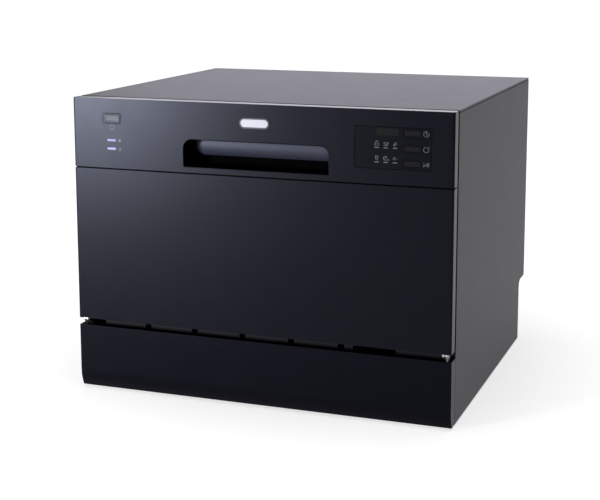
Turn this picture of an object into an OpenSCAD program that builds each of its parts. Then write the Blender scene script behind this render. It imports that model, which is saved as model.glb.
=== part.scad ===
// Countertop dishwasher with a drop-down door, one pull-out rack and a service recess at the rear.
// Millimetres. X runs to the right as seen from the front, Y to the rear, Z up; the table is z = 0.

/* [Body] */
// Width over the side panels
body_w = 550; // [520:5:620]
// Depth from the door trim to the rear panel
body_d = 500; // [480:5:560]
// Height of the body without its feet
body_h = 422; // [415:1:480]
// How far the feet stand out below the body
foot_h = 3; // [3:0.5:12]
// Casing sheet thickness
sheet_t = 1; // [0.8:0.1:1.5]
// How far the front edge of the casing lies behind the front of the body
case_setback = 25; // [23:0.5:27]
// Seam between the top cover and the side panels
cover_seam = 0.8; // [0.4:0.1:1.5]
// Depth of the rolled edge of the top cover
cover_lip = 3; // [2.5:0.1:5]
// Height of the screw heads on the rear panel
screw_head_h = 1.6; // [1:0.1:2]
// Shank radius of the casing screws
screw_r = 1.6; // [1.2:0.1:2]

/* [Rear service recess] */
// Depth of the recess for hoses and cord
recess_d = 41; // [30:1:50]
// Height of the recess above the bottom of the body
recess_h = 96; // [90:1:110]
// Inner corner radius of the recess in the side panels
recess_r = 13; // [5:1:20]

/* [Base] */
// Height of the kick panel
kick_h = 92.4; // [88:0.1:96]
// Kick panel thickness
kick_t = 2.5; // [2:0.1:3]
// How far the kick panel lies behind the trim of the door
kick_setback = 3; // [2:0.5:5]
// Height over which the kick panel curves in at the bottom
kick_curve_h = 25; // [15:1:40]
// How far the kick panel curves in at the bottom
kick_curve_d = 6.5; // [3:0.5:10]
// Base tray floor and wall thickness
tray_t = 2; // [1.5:0.1:3]
// Pitch of the air slots in the front wall of the base
slot_pitch = 73; // [60:1:80]
// Width of one air slot
slot_w = 9; // [5:0.5:14]
// Foot radius
foot_r = 20; // [14:1:25]

/* [Door] */
// Air gap between kick panel and door
door_gap = 10.4; // [9.4:0.1:12]
// Depth of the door shell at its sides
door_side_d = 17.2; // [16:0.2:19]
// Door front panel thickness
panel_t = 3; // [2:0.1:3]
// Depth of the folded edges of the door panels, as wall thickness
return_t = 2.5; // [2:0.1:3]
// Height of the control panel
control_h = 98; // [96:0.5:104]
// Seam between control panel and lower door panel
panel_seam = 1.8; // [1:0.1:3]
// Rounding of the vertical front edges
edge_r = 3; // [1:0.5:3]
// How far the badge and power button stand proud of the door face
trim_proud = 0.8; // [0.5:0.1:1.2]
// Depth of the pressed inner liner behind the door back
plug_d = 24; // [20:0.5:26]
// Height of the ribs pressed into the liner that carry the rack wheels
door_rail_h = 3.7; // [3:0.1:4]
// Hinge pin radius
hinge_pin_r = 2; // [1.5:0.1:2.2]
// Hinge ear radius
hinge_ear_r = 3.9; // [3.5:0.1:4.1]
// Hinge plate thickness
hinge_t = 3; // [2:0.1:3]

/* [Tub] */
// Space between the tub and the outside of the casing, each side
tub_side_space = 32; // [31:0.5:45]
// Space above the tub
tub_top_space = 25; // [24.5:0.5:35]
// Space behind the tub
tub_rear_space = 58; // [50:1:70]
// Height of the tub floor above the bottom of the body
tub_floor_h = 130; // [129:0.5:131]
// Tub sheet thickness
tub_t = 0.6; // [0.5:0.1:1.2]
// Corner radius of the tub mouth
tub_r = 18; // [14:1:24]
// Mouth frame sheet thickness
frame_t = 1.5; // [1:0.1:1.8]
// Width of the frame around the tub mouth
frame_w = 15; // [14.5:0.1:16]
// Gap between tub edge and door seal
seal_gap = 3; // [2:0.1:3.5]
// Width of the door seal
seal_w = 7; // [5:0.5:8]
// Clearance between the door seal and the liner
seal_clear = 0.3; // [0.2:0.05:0.6]

/* [Handle] */
// Width of the handle recess
recess_open_w = 211.6; // [180:0.2:214]
// Height of the handle recess
recess_open_h = 38.9; // [34:0.1:42]
// Bottom of the recess above the bottom of the control panel
recess_open_z = 7.6; // [7:0.1:12]
// Upper corner radius of the recess
recess_top_r = 13; // [8:0.5:14]
// Lower corner radius of the recess
recess_low_r = 2.5; // [1:0.5:4]
// Width of the handle lever
lever_w = 191; // [150:1:200]
// Lever thickness
lever_t = 3.4; // [2.4:0.2:4]
// Recess wall thickness
pocket_t = 1.5; // [1:0.1:2]

/* [Controls] */
// Width of the power button
power_w = 23; // [18:0.5:26]
// Height of the power button
power_h = 9.6; // [8:0.2:12]
// Room between the control window and the right end of the panel
window_inset = 29.5; // [22:0.5:33]
// Width of the control window
window_w = 104.9; // [100:0.1:106]
// Height of the control window
window_h = 56; // [54:0.5:60]
// Width of the slot buttons
slot_button_w = 21.6; // [16:0.2:23]
// Height of the slot buttons
slot_button_h = 7.4; // [6:0.2:9]
// Travel of every button
button_travel = 1.2; // [0.6:0.1:1.5]
// Clearance around every button
button_clear = 0.35; // [0.2:0.05:0.6]

/* [Rack] */
// Room between the rack and the wall of the tub at each side
rack_side_room = 24; // [23:0.5:34]
// Depth of the rack
rack_d = 362; // [320:2:364]
// Height of the rack walls
rack_h = 127; // [110:1:130]
// Wire radius of the rim and floor frame
rim_r = 2.5; // [2:0.1:2.8]
// Wire radius of the mesh
wire_r = 1.8; // [1.4:0.1:2]
// Wheel radius
wheel_r = 12; // [10:0.5:12]
// Wheel width
wheel_w = 8; // [6:0.5:8]
// Wheel axle radius
axle_r = 3; // [2.5:0.1:3.5]
// Height of the wheel rails above the tub floor
rail_h = 9.7; // [9.2:0.1:10]
// Gap between wheel and rail
wheel_clear = 0.3; // [0.2:0.05:0.5]
// Plate tine length
tine_l = 62; // [40:1:66]
// Cup shelf width
shelf_w = 86; // [60:1:90]
// Cutlery basket width
basket_w = 56; // [44:1:56]
// Cutlery basket length
basket_l = 164; // [120:2:170]
// Cutlery basket height
basket_h = 108; // [90:1:112]

/* [Water system] */
// Spray arm length
arm_l = 366; // [300:2:370]
// Spray arm thickness
arm_t = 7; // [6:0.5:7.5]
// Spray arm spindle radius
spindle_r = 9; // [7:0.5:10]
// Running clearance of turning fits, on the radius
run_fit = 0.08; // [0.04:0.01:0.1]
// Filter cylinder radius
filter_r = 30; // [24:1:32]
// Salt filler neck radius
salt_neck_r = 26; // [20:1:28]
// Water inlet thread radius
inlet_r = 13.2; // [13.2:0.1:13.3]
// Water inlet thread length
inlet_l = 14; // [10:0.5:16]
// Drain spigot radius
drain_r = 10; // [8:0.5:12]
// Length of the drain spigot behind the recess wall
drain_l = 26; // [20:1:34]
// Cord gland bore radius
gland_bore_r = 4; // [3:0.1:5]

/* [Hidden] */
$fn = 72;

// Whole body
half_w = body_w / 2;
front_y = -body_d / 2;
rear_y = body_d / 2;
base_z = foot_h;
top_z = base_z + body_h;
case_y = front_y + case_setback;
recess_y = rear_y - recess_d;
plate_y = rear_y - screw_head_h;
recess_z = base_z + recess_h;
panel_in_x = half_w - sheet_t;
flange_in = 13;
// Top of the side panel sheets, under the rolled edge of the cover
cover_edge_z = top_z - cover_lip;
side_top_z = cover_edge_z - cover_seam;
// Base tray
tray_z = base_z + sheet_t;
tray_floor_z = tray_z + tray_t;
tray_wall_z = base_z + 35;
tray_front_y = front_y + 29.5;
tray_rear_y = recess_y - sheet_t;
// Kick panel
kick_y = front_y + kick_setback;
kick_top_z = base_z + kick_h;
kick_curve_r = (pow(kick_curve_h, 2) + pow(kick_curve_d, 2)) / (2 * kick_curve_d);
// Door
face_y = front_y + trim_proud;
inner_face_y = face_y + panel_t;
door_back_y = face_y + door_side_d;
door_bottom_z = kick_top_z + door_gap;
control_z = top_z - control_h;
panel_top_z = control_z - panel_seam;
hinge_y = inner_face_y + hinge_ear_r + 0.1;
hinge_z = door_bottom_z - 1.8;
hinge_arm_x = half_w - 13;
hinge_bracket_x = hinge_arm_x + 4;
hinge_notch_w = 14;
liner_t = 1;
liner_low_z = door_bottom_z + 12.2;
boss_x = half_w - 5.5;
lower_boss_z = [for (part = [0.474, 0.684, 0.863])
    door_bottom_z + part * (panel_top_z - door_bottom_z)];
upper_boss_z = [control_z + 20, top_z - 22];
spring_y = hinge_y + 27;
spring_z = hinge_z - 14;
spring_anchor_y = spring_y + 157;
spring_anchor_z = base_z + 57;
liner_y = door_back_y + liner_t;
plug_y = door_back_y + plug_d;
// Tub
tub_x = half_w - tub_side_space;
tub_y = front_y + 29.5;
tub_rear_y = rear_y - tub_rear_space;
tub_z = base_z + tub_floor_h;
tub_top_z = top_z - tub_top_space;
frame_y = tub_y - frame_t;
frame_x = tub_x + frame_w;
frame_low_z = tub_z - frame_w - 6;
seal_in = seal_gap;
seal_out = seal_gap + seal_w;
seal_y = liner_y + seal_clear;
plug_clear = 5;
plug_x = tub_x - plug_clear;
plug_low_z = tub_z + plug_clear;
plug_top_z = tub_top_z - plug_clear;
rail_t = 1.5;
rail_z = tub_z + rail_h;
rail_front_y = plug_y + door_rail_h + 1.3;
// Latch
latch_slot_z = tub_top_z + seal_out + 0.2;
latch_slot_h = 7.3;
hook_pivot_y = inner_face_y + 7.2;
hook_pivot_z = latch_slot_z - 1.2;
hook_w = 8;
hook_pin_r = 1.6;
hook_arm_z = latch_slot_z + 3;
hook_arm_h = 2.8;
strike_t = 1.5;
// Handle recess
pocket_z = control_z + recess_open_z;
pocket_top_z = pocket_z + recess_open_h;
pocket_back_y = plug_y - 5;
pocket_roof_z = pocket_top_z + 12.5;
lever_y = pocket_back_y - 9.5;
lever_z = pocket_top_z + 6;
lever_drop = 30.5;
lever_pin_r = 2;
// Controls
power_x = -half_w + 61;
power_z = top_z - 27.75;
light_x = -half_w + 59.8;
light_w = 13.5;
light_h = 3.2;
light_z = [top_z - 58.5, top_z - 70.4];
window_x = half_w - window_inset - window_w;
window_z = top_z - 78;
window_y = face_y + 0.1;
slot_button_x = window_x + 78.7;
slot_button_z = [window_z + 48.2, window_z + 28, window_z + 8.6];
display_w = 30;
display_h = 10;
display_x = window_x + 44.9;
display_z = window_z + 49;
board_y = inner_face_y + 8.2;
button_back_y = inner_face_y + 3.6;
badge_seat = 1;
badge_w = 43.2;
badge_h = 14.5;
badge_ring_w = 2;
badge_z = top_z - 26;
// Detergent dispenser
disp_x0 = 15;
lid_travel = 48;
cup_x0 = disp_x0 + 49;
cup_w = 44;
disp_w = cup_x0 + cup_w + lid_travel + 9 - disp_x0;
disp_z0 = control_z - 102;
disp_h = 75;
disp_y = plug_y + 4.8;
cup_d = 20;
lid_t = 1.6;
cap_x = disp_x0 + 25;
cap_r = 14;
// Rack
rack_front_y = plug_y + 12;
rack_floor_z = rail_z + wheel_clear + 15.5;
rack_rim_z = rack_floor_z + rack_h;
rack_x = tub_x - rack_side_room;
rack_rear_y = rack_front_y + rack_d;
rack_mesh = 40;
weld_gap = 0.05;
wheel_z = rail_z + wheel_clear + wheel_r;
wheel_y = [rack_front_y + 46, rack_rear_y - 40];
wheel_x = rack_x + 4;
rail_in_x = rack_x + 3;
tine_x = [-70, 10];
shelf_x = -rack_x + 11;
shelf_z = rack_rim_z - 8;
shelf_clip_y = [rack_front_y + 76, rack_rear_y - 76];
shelf_rod_r = 2;
basket_x = rack_x - rim_r - 10 - basket_w;
basket_y = rack_front_y + 14;
basket_z = rack_floor_z + 2 * wire_r + 0.6;
basket_t = 2;
// Water system
hub_x = 0;
hub_y = -10;
arm_z = tub_z + 9.5;
well_x = 78;
well_y = -70;
salt_x = -110;
salt_y = -100;
pump_z = tray_floor_z + 42;
hub_r = 14;
well_r = 41;
filter_t = 1.2;
filter_plate_x = [-60, well_x + 70];
filter_plate_y = [well_y - 80, hub_y + 60];
filter_low_z = tub_z - 43;
sump_port_z = base_z + 80;
drain_port_z = base_z + 74;
hose_r = 11;
arm_top_z = arm_z + arm_t + 0.7;
pump_x = -70;
pump_y = 80;
heater_x = -20;
heater_y = 130;
heater_l = 110;
heater_r = 17;
heater_band_w = 4;
heater_band_t = 3;
drain_pump_x = 150;
inlet_x = tub_x - 55;
drain_x = inlet_x - 48;
gland_x = -tub_x + 43;
valve_y = tray_rear_y - 70;
breather_y = [tub_y + 70.5, tub_rear_y - 42];
breather_z = [tub_z + 17, tub_top_z - 50];
shoulder_out = 1;
relief_w = 0.5;
relief_d = 0.8;
inlet_shoulder_r = inlet_r + 1.2;
drain_shoulder_r = drain_r + 2;
service_z = base_z + 57;

// Block from its lowest to its highest corner
module block(x0, x1, y0, y1, z0, z1) {
    translate([x0, y0, z0]) cube([x1 - x0, y1 - y0, z1 - z0]);
}

// Rectangle with round corners, drawn from its lowest corner
module round_rect(w, h, r) {
    translate([r, 0]) square([w - 2 * r, h]);
    translate([0, r]) square([w, h - 2 * r]);
    for (x = [r, w - r], y = [r, h - r]) translate([x, y]) circle(r);
}

// Flat shape drawn in X and Z, thickened from y0 to y1
module facing(y0, y1) {
    translate([0, y1, 0]) rotate([90, 0, 0]) linear_extrude(y1 - y0) children();
}

// Flat shape drawn in Y and Z, thickened from x0 to x1
module sideways(x0, x1) {
    translate([x0, 0, 0]) rotate([90, 0, 90]) linear_extrude(x1 - x0) children();
}

module rod_x(x0, x1, y, z, r) {
    translate([x0, y, z]) rotate([0, 90, 0]) cylinder(h = x1 - x0, r = r);
}

module rod_y(y0, y1, x, z, r) {
    translate([x, y1, z]) rotate([90, 0, 0]) cylinder(h = y1 - y0, r = r);
}

module rod_z(z0, z1, x, y, r) {
    translate([x, y, z0]) cylinder(h = z1 - z0, r = r);
}

// The same shape at the right and at the left
module both_sides() {
    children();
    mirror([1, 0, 0]) children();
}

// Straight wire of eight sides between two points along one axis
module wire(a, b, r) {
    d = b - a;
    turn = d[0] != 0 ? [0, 90, 0] : d[1] != 0 ? [-90, 0, 0] : [0, 0, 0];
    translate(a) rotate(turn) cylinder(h = norm(d), r = r, $fn = 8);
}

// Outline of one side panel, with the service recess cut from its rear lower corner
module side_outline() {
    difference() {
        translate([case_y, base_z]) square([rear_y - case_y, side_top_z - base_z]);
        translate([recess_y, base_z - 1]) square([recess_d + 1, recess_h + 1 - recess_r]);
        translate([recess_y + recess_r, base_z - 1]) square([recess_d + 1, recess_h + 1]);
        translate([recess_y + recess_r, recess_z - recess_r]) circle(recess_r);
    }
}

// Places of the screws through the rear panel, six in all
module case_screw_places() {
    for (x = [-half_w + 7, half_w - 7], z = [recess_z + 30, (recess_z + top_z) / 2, top_z - 30])
        translate([x, plate_y, z]) children();
}

module side_panel() {
    sideways(panel_in_x, half_w) side_outline();
    // front flange behind the door edge, kept narrow so that the hinge arm swings past it
    block(hinge_bracket_x + hinge_t + 1, panel_in_x, case_y, case_y + sheet_t, base_z, side_top_z);
    // top flange that the cover rests on
    block(half_w - flange_in, panel_in_x, case_y + 8, plate_y - 2 * sheet_t,
        cover_edge_z - 1.2 - cover_seam, side_top_z);
    block(half_w - flange_in, half_w - 1.6, case_y + 8, plate_y - 2 * sheet_t,
        side_top_z - 0.5, cover_edge_z);
    // rear flange that the rear panel is screwed to, and the bottom flange under the tray
    difference() {
        block(half_w - flange_in, panel_in_x, plate_y - 2 * sheet_t, plate_y - sheet_t,
            recess_z + 3, side_top_z);
        case_screw_places() rod_y(-20, 20, 0, 0, screw_r + 0.05);
    }
    block(half_w - flange_in, panel_in_x, case_y + 8, tray_rear_y, base_z, tray_z);
}

module side_panel_right() color("#2e2e33") side_panel();

module side_panel_left() color("#2e2e33") mirror([1, 0, 0]) side_panel();

module top_cover() color("#5a5b63") {
    difference() {
        block(-half_w, half_w, case_y, rear_y, cover_edge_z, top_z);
        block(-half_w + 2 * sheet_t, half_w - 2 * sheet_t, case_y + 1, rear_y - 1,
            cover_edge_z - 1, top_z - sheet_t);
    }
}

module rear_panel() color("#34343a") difference() {
    union() {
        // upper plate, ceiling of the recess and lower plate
        block(-panel_in_x, panel_in_x, plate_y - sheet_t, plate_y, recess_z, cover_edge_z - 0.4);
        block(-panel_in_x, panel_in_x, recess_y - sheet_t, plate_y, recess_z, recess_z + sheet_t);
        block(-panel_in_x, panel_in_x, recess_y - sheet_t, recess_y, tray_z, recess_z + sheet_t);
    }
    rod_y(recess_y - 5, recess_y + 1, inlet_x, service_z, inlet_shoulder_r + 0.3);
    rod_y(recess_y - 5, recess_y + 1, drain_x, service_z, drain_shoulder_r + 0.3);
    rod_y(recess_y - 5, recess_y + 1, gland_x, service_z, gland_bore_r + 4.1);
    case_screw_places() rod_y(-20, 20, 0, 0, screw_r + 0.05);
    // vent louvres
    for (i = [0:5], s = [-1, 1])
        translate([s * 150 - 40, rear_y - 5, top_z - 90 - 14 * i]) cube([80, 10, 4]);
}

module tray_slots() {
    for (x = [-slot_pitch * 3 - 32:slot_pitch:half_w - slot_w - 45])
        block(x - slot_w / 2, x + slot_w / 2, tray_front_y - 1, tray_front_y + tray_t + 1,
            base_z + 52, door_bottom_z + 2);
    block(131, 184, tray_front_y - 1, tray_front_y + tray_t + 1, base_z + 52, door_bottom_z + 2);
}

module base_tray() color("#26272b") difference() {
    union() {
        block(-panel_in_x, panel_in_x, tray_front_y, tray_rear_y, tray_z, tray_floor_z);
        block(-panel_in_x, panel_in_x, tray_front_y, tray_front_y + tray_t, tray_z, base_z + 73);
        block(-frame_x, frame_x, tray_front_y, tray_front_y + tray_t, tray_z, tub_z - tub_t - 6);
        block(-panel_in_x, panel_in_x, tray_rear_y - tray_t, tray_rear_y, tray_z, tray_wall_z);
        both_sides()
            block(panel_in_x - 1.5, panel_in_x, tray_front_y, tray_rear_y, tray_z, tray_wall_z);
        // lugs for the door springs
        both_sides() difference() {
            block(hinge_arm_x, hinge_arm_x + hinge_t, spring_anchor_y - 6, spring_anchor_y + 8,
                tray_floor_z, spring_anchor_z + 5);
            rod_x(half_w - 40, half_w, spring_anchor_y, spring_anchor_z, 1.6);
        }
        // posts that carry the tub
        for (y = [tray_front_y + 42, tray_rear_y - 60])
            both_sides() block(tub_x - 26, tub_x - 22, y, y + 30, tray_floor_z, tub_z - tub_t);
    }
    tray_slots();
}

module feet() color("#141416")
    for (x = [-half_w + 60, half_w - 60], y = [front_y + 60, recess_y - 40]) {
        rod_z(0, tray_z, x, y, foot_r);
    }

// Side profile of the kick panel: straight, then curving in over its lowest part
module kick_profile(inset) {
    z1 = base_z + kick_curve_h;
    translate([kick_y + inset, z1]) square([30, kick_h - kick_curve_h]);
    intersection() {
        translate([kick_y + kick_curve_r, z1]) circle(kick_curve_r - inset, $fn = 200);
        translate([kick_y, base_z]) square([30, kick_curve_h]);
    }
}

module kick_panel() color("#1b1c21") {
    return_y = case_y - 0.5;
    sideways(-half_w, half_w) difference() {
        kick_profile(0);
        kick_profile(kick_t);
        translate([kick_y + kick_t + kick_curve_d + 3, 0]) square([60, 200]);
    }
    both_sides() sideways(half_w - kick_t, half_w) intersection() {
        kick_profile(0);
        translate([kick_y, base_z]) square([return_y - kick_y, kick_h]);
    }
    // tabs that screw to the front wall of the base
    both_sides() for (z = [base_z + 34, base_z + 64])
        block(half_w - 60, half_w - 30, kick_y + 1, tray_front_y, z, z + 2);
}

module case_screws() color("#8a8b90") case_screw_places() {
    rod_y(-6, 0, 0, 0, screw_r);
    rod_y(0, screw_head_h, 0, 0, screw_r + 2);
}

// Outline of the tub mouth in X and Z, grown by a margin
module mouth(grow) {
    translate([-tub_x - grow, tub_z - grow])
        round_rect(2 * (tub_x + grow), tub_top_z - tub_z + 2 * grow, tub_r + grow);
}

module tub() color("#c4c6ca") difference() {
    facing(tub_y, tub_rear_y + tub_t) mouth(tub_t);
    facing(tub_y - 1, tub_rear_y) mouth(0);
    rod_z(tub_z - 5, tub_z + 5, hub_x, hub_y, hub_r + 0.3);
    rod_z(tub_z - 5, tub_z + 5, well_x, well_y, well_r);
    rod_z(tub_z - 5, tub_z + 5, salt_x, salt_y, salt_neck_r + 0.3);
}

module latch_slot() {
    translate([-hook_w / 2 - 3, latch_slot_z]) square([hook_w + 6, latch_slot_h]);
}

module mouth_frame() color("#bfc1c5") facing(frame_y, tub_y) difference() {
    translate([-frame_x, frame_low_z])
        square([2 * frame_x, top_z - sheet_t - frame_low_z]);
    mouth(0);
    latch_slot();
}

module latch_strike() color("#9a9ca1") facing(tub_y, tub_y + strike_t) difference() {
    translate([-hook_w / 2 - 12, latch_slot_z - 4]) square([hook_w + 24, latch_slot_h + 8]);
    latch_slot();
}

module door_seal() color("#232326") facing(seal_y, frame_y) difference() {
    mouth(seal_out);
    mouth(seal_in);
}

module rack_rails() color("#b5b7bb") intersection() {
    both_sides()
        block(rail_in_x, tub_x, rail_front_y, tub_rear_y, rail_z - rail_t, rail_z);
    facing(tub_y, tub_rear_y) mouth(0);
}

module sump() color("#3a3b40") {
    difference() {
        union() {
            rod_z(base_z + 63, tub_z - tub_t, well_x, well_y, well_r + 3);
            rod_z(tub_z - tub_t - 3, tub_z - tub_t, well_x, well_y, well_r + 10);
            rod_x(well_x - well_r - 14, well_x, well_y, sump_port_z, hose_r);
            rod_x(well_x, drain_pump_x, well_y, drain_port_z, hose_r - 3);
        }
        rod_z(base_z + 66, tub_z, well_x, well_y, well_r);
        rod_x(well_x - well_r - 15, well_x, well_y, sump_port_z, hose_r - 2);
    }
    // ledge that the filter cylinder stands on
    difference() {
        rod_z(base_z + 65, filter_low_z - 0.3, well_x, well_y, filter_r);
        rod_z(base_z + 64, filter_low_z + 1, well_x, well_y, filter_r - 5);
    }
}

module floor_filter() color("#aeb0b5") difference() {
    block(filter_plate_x[0], filter_plate_x[1], filter_plate_y[0], filter_plate_y[1],
        tub_z, tub_z + filter_t);
    rod_z(tub_z - 1, tub_z + 5, hub_x, hub_y, hub_r + 0.4);
    rod_z(tub_z - 1, tub_z + 5, well_x, well_y, filter_r + 0.5);
    for (x = [filter_plate_x[0] + 12:12:-24], y = [filter_plate_y[0] + 14:14:filter_plate_y[1] - 14])
        block(x, x + 6, y, y + 8, tub_z - 1, tub_z + 5);
}

module micro_filter() color("#d9dadd") {
    top = tub_z + filter_t + 0.3;
    difference() {
        union() {
            rod_z(filter_low_z, top, well_x, well_y, filter_r);
            rod_z(top, top + 1.6, well_x, well_y, filter_r + 3);
        }
        rod_z(filter_low_z + 2, top + 2, well_x, well_y, filter_r - 2);
    }
    // grip across the top
    block(well_x - filter_r, well_x + filter_r, well_y - 2, well_y + 2, top - 14, top + 5);
}

module spray_hub() color("#77787d") difference() {
    union() {
        rod_z(tub_z - 37, tub_z - tub_t, hub_x, hub_y, hub_r + 4);
        rod_z(tub_z - tub_t - 1, arm_z - 0.3, hub_x, hub_y, hub_r);
        rod_z(arm_z - 1, arm_top_z + 1, hub_x, hub_y, spindle_r);
        // nut that keeps the arm on its spindle
        rod_z(arm_top_z + 0.3, arm_top_z + 2.8, hub_x, hub_y, spindle_r + 3);
    }
    rod_z(tub_z - 33, arm_z - 3, hub_x, hub_y, hub_r - 4);
}

module spray_arm() color("#8d8f94") translate([hub_x, hub_y, arm_z]) difference() {
    union() {
        linear_extrude(arm_t) {
            square([arm_l - 26, 26], center = true);
            for (s = [-1, 1]) translate([s * (arm_l / 2 - 13), 0]) circle(13);
        }
        cylinder(h = arm_top_z - arm_z, r = 20);
    }
    translate([0, 0, -1]) cylinder(h = arm_t + 5, r = spindle_r + run_fit);
    // spray nozzles
    for (x = [34:24:arm_l / 2 - 10], s = [-1, 1])
        translate([s * x, s * 4, -1]) cylinder(h = arm_t + 2, r = 1.5, $fn = 24);
}

module salt_neck_bore() {
    rod_z(tub_z - 60, tub_z + 8, salt_x, salt_y, salt_neck_r - 6);
}

module softener_tank() color("#e3e3e0") difference() {
    union() {
        block(salt_x - 70, salt_x + 60, salt_y - 60, salt_y + 50, tray_floor_z, tub_z - 12);
        rod_z(tub_z - 13, tub_z + 3, salt_x, salt_y, salt_neck_r);
        rod_z(tub_z - tub_t - 3, tub_z - tub_t, salt_x, salt_y, salt_neck_r + 5);
    }
    salt_neck_bore();
}

module salt_cap() color("#4a4b50") {
    difference() {
        rod_z(tub_z + 0.3, tub_z + 6, salt_x, salt_y, salt_neck_r + 4);
        rod_z(tub_z, tub_z + 3.3, salt_x, salt_y, salt_neck_r + 0.3);
    }
    block(salt_x - 20, salt_x + 20, salt_y - 3, salt_y + 3, tub_z + 6, tub_z + 8.4);
}

module circulation_pump() color("#55565c") {
    rod_x(pump_x, pump_x + 24, pump_y, pump_z, 34);
    rod_x(pump_x - 80, pump_x, pump_y, pump_z, 27);
    rod_x(pump_x + 24, pump_x + 40, pump_y, pump_z, hose_r);
    rod_z(pump_z, pump_z + 48, pump_x + 12, pump_y, hose_r - 2);
    block(pump_x - 70, pump_x + 12, pump_y - 20, pump_y + 20, tray_floor_z, pump_z - 20);
}

module drain_pump() color("#4c4d53") {
    rod_x(drain_pump_x, drain_pump_x + 50, well_y, drain_port_z, 20);
    rod_z(drain_port_z, drain_port_z + 18, drain_pump_x + 12, well_y, hose_r - 4);
    block(drain_pump_x + 8, drain_pump_x + 42, well_y - 14, well_y + 14, tray_floor_z,
        drain_port_z - 14);
}

module heater() color("#a9a196") {
    rod_x(heater_x, heater_x + heater_l, heater_y, pump_z, heater_r);
    for (x = [heater_x + 12, heater_x + heater_l - 12])
        rod_x(x, x + heater_band_w, heater_y, pump_z, heater_r + heater_band_t);
    block(heater_x + 6, heater_x + heater_l - 6, heater_y - 8, heater_y + 8, tray_floor_z,
        pump_z - heater_r + 3);
}

module breather_chamber() color("#dcdcd6")
    block(-panel_in_x, -tub_x - tub_t - 3, breather_y[0], breather_y[1], breather_z[0],
        breather_z[1]);

// Pipe through a list of corner points, each step along one axis
module pipe(points, r) {
    for (i = [0:len(points) - 2]) {
        d = points[i + 1] - points[i];
        turn = d[0] != 0 ? [0, d[0] > 0 ? 90 : -90, 0]
            : d[1] != 0 ? [d[1] > 0 ? -90 : 90, 0, 0]
            : [d[2] > 0 ? 0 : 180, 0, 0];
        translate(points[i]) rotate(turn) cylinder(h = norm(d), r = r, $fn = 36);
        if (i > 0) translate(points[i]) sphere(r, $fn = 36);
    }
}

module internal_hoses() color("#2b2b2f") {
    // sump to circulation pump, pump to spray hub, drain pump to spigot, inlet to breather
    sump_x = well_x - well_r - 14;
    turn_x = pump_x + 54;
    pipe([[sump_x, well_y, sump_port_z], [turn_x, well_y, sump_port_z],
        [turn_x, pump_y, sump_port_z], [turn_x, pump_y, pump_z], [pump_x + 40, pump_y, pump_z]],
        hose_r);
    pump_out = pump_x + 12;
    pipe([[pump_out, pump_y, pump_z + 48], [pump_out, pump_y, tub_z - 22],
        [pump_out, hub_y, tub_z - 22], [hub_x - hub_r - 4, hub_y, tub_z - 22]], hose_r - 2);
    drain_out = drain_pump_x + 12;
    drain_y = tray_rear_y - 17;
    drain_top = drain_port_z + 28;
    pipe([[drain_out, well_y, drain_port_z + 20], [drain_out, well_y, drain_top],
        [drain_out, drain_y, drain_top], [drain_x, drain_y, drain_top],
        [drain_x, drain_y, service_z], [drain_x, tray_rear_y - 9, service_z]], hose_r - 4);
    breather_x = -tub_x - tub_t - 14.5;
    up_y = valve_y + 14;
    across_y = valve_y - 13;
    pipe([[inlet_x, up_y, service_z + 18], [inlet_x, up_y, tub_z - 14],
        [inlet_x, across_y, tub_z - 14], [breather_x, across_y, tub_z - 14],
        [breather_x, across_y, breather_z[0]]], 6);
}

// Outer end of a water connector: shoulder in the rear wall, relief groove, and the pipe itself
module connector(x, r, shoulder_r, l) {
    pipe_y = recess_y + shoulder_out + relief_w;
    rod_y(tray_rear_y - tray_t - 1, recess_y + shoulder_out, x, service_z, shoulder_r);
    rod_y(recess_y, pipe_y, x, service_z, r - relief_d);
    rod_y(pipe_y, recess_y + l, x, service_z, r);
}

module inlet_valve() color("#e8e8e4") difference() {
    union() {
        block(inlet_x - 20, inlet_x + 20, valve_y, tray_rear_y - tray_t - 3, service_z - 18,
            service_z + 18);
        rod_y(tray_rear_y - tray_t - 4, tray_rear_y, inlet_x, service_z, inlet_r + 6);
        connector(inlet_x, inlet_r, inlet_shoulder_r, inlet_l);
    }
    rod_y(tray_rear_y - 20, recess_y + inlet_l + 1, inlet_x, service_z, inlet_r - 5);
}

module drain_spigot() color("#3c3d42") difference() {
    union() {
        rod_y(tray_rear_y - 9, tray_rear_y - tray_t, drain_x, service_z, drain_r);
        rod_y(tray_rear_y - 3, tray_rear_y, drain_x, service_z, drain_r + 6);
        connector(drain_x, drain_r, drain_shoulder_r, drain_l);
    }
    rod_y(tray_rear_y - 8, recess_y + drain_l + 1, drain_x, service_z, drain_r - 3);
}

module cord_gland() color("#19191b") difference() {
    union() {
        rod_y(tray_rear_y - 6, recess_y + 3, gland_x, service_z, gland_bore_r + 4);
        rod_y(recess_y, recess_y + 3, gland_x, service_z, gland_bore_r + 7);
        rod_y(tray_rear_y - 3, tray_rear_y, gland_x, service_z, gland_bore_r + 7);
    }
    rod_y(tray_rear_y - 10, recess_y + 5, gland_x, service_z, gland_bore_r);
}

// Bracket on the base at each side, with the pin that the door turns on
module hinge_brackets() color("#7d7f84") both_sides() {
    sideways(hinge_bracket_x, hinge_bracket_x + hinge_t) {
        translate([hinge_y, hinge_z]) circle(hinge_ear_r);
        polygon([[hinge_y - 2, hinge_z - 3.2], [hinge_y + 1.5, hinge_z + 3.4],
            [tray_front_y, base_z + 90], [tray_front_y, base_z + 27],
            [tray_front_y - 3, base_z + 27], [tray_front_y - 3, base_z + 70]]);
    }
    block(hinge_bracket_x - 20, hinge_bracket_x + hinge_t, tray_front_y - 2, tray_front_y,
        base_z + 27, base_z + 68);
    rod_x(hinge_arm_x - 1, hinge_bracket_x + hinge_t + 1, hinge_y, hinge_z, hinge_pin_r);
}

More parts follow.
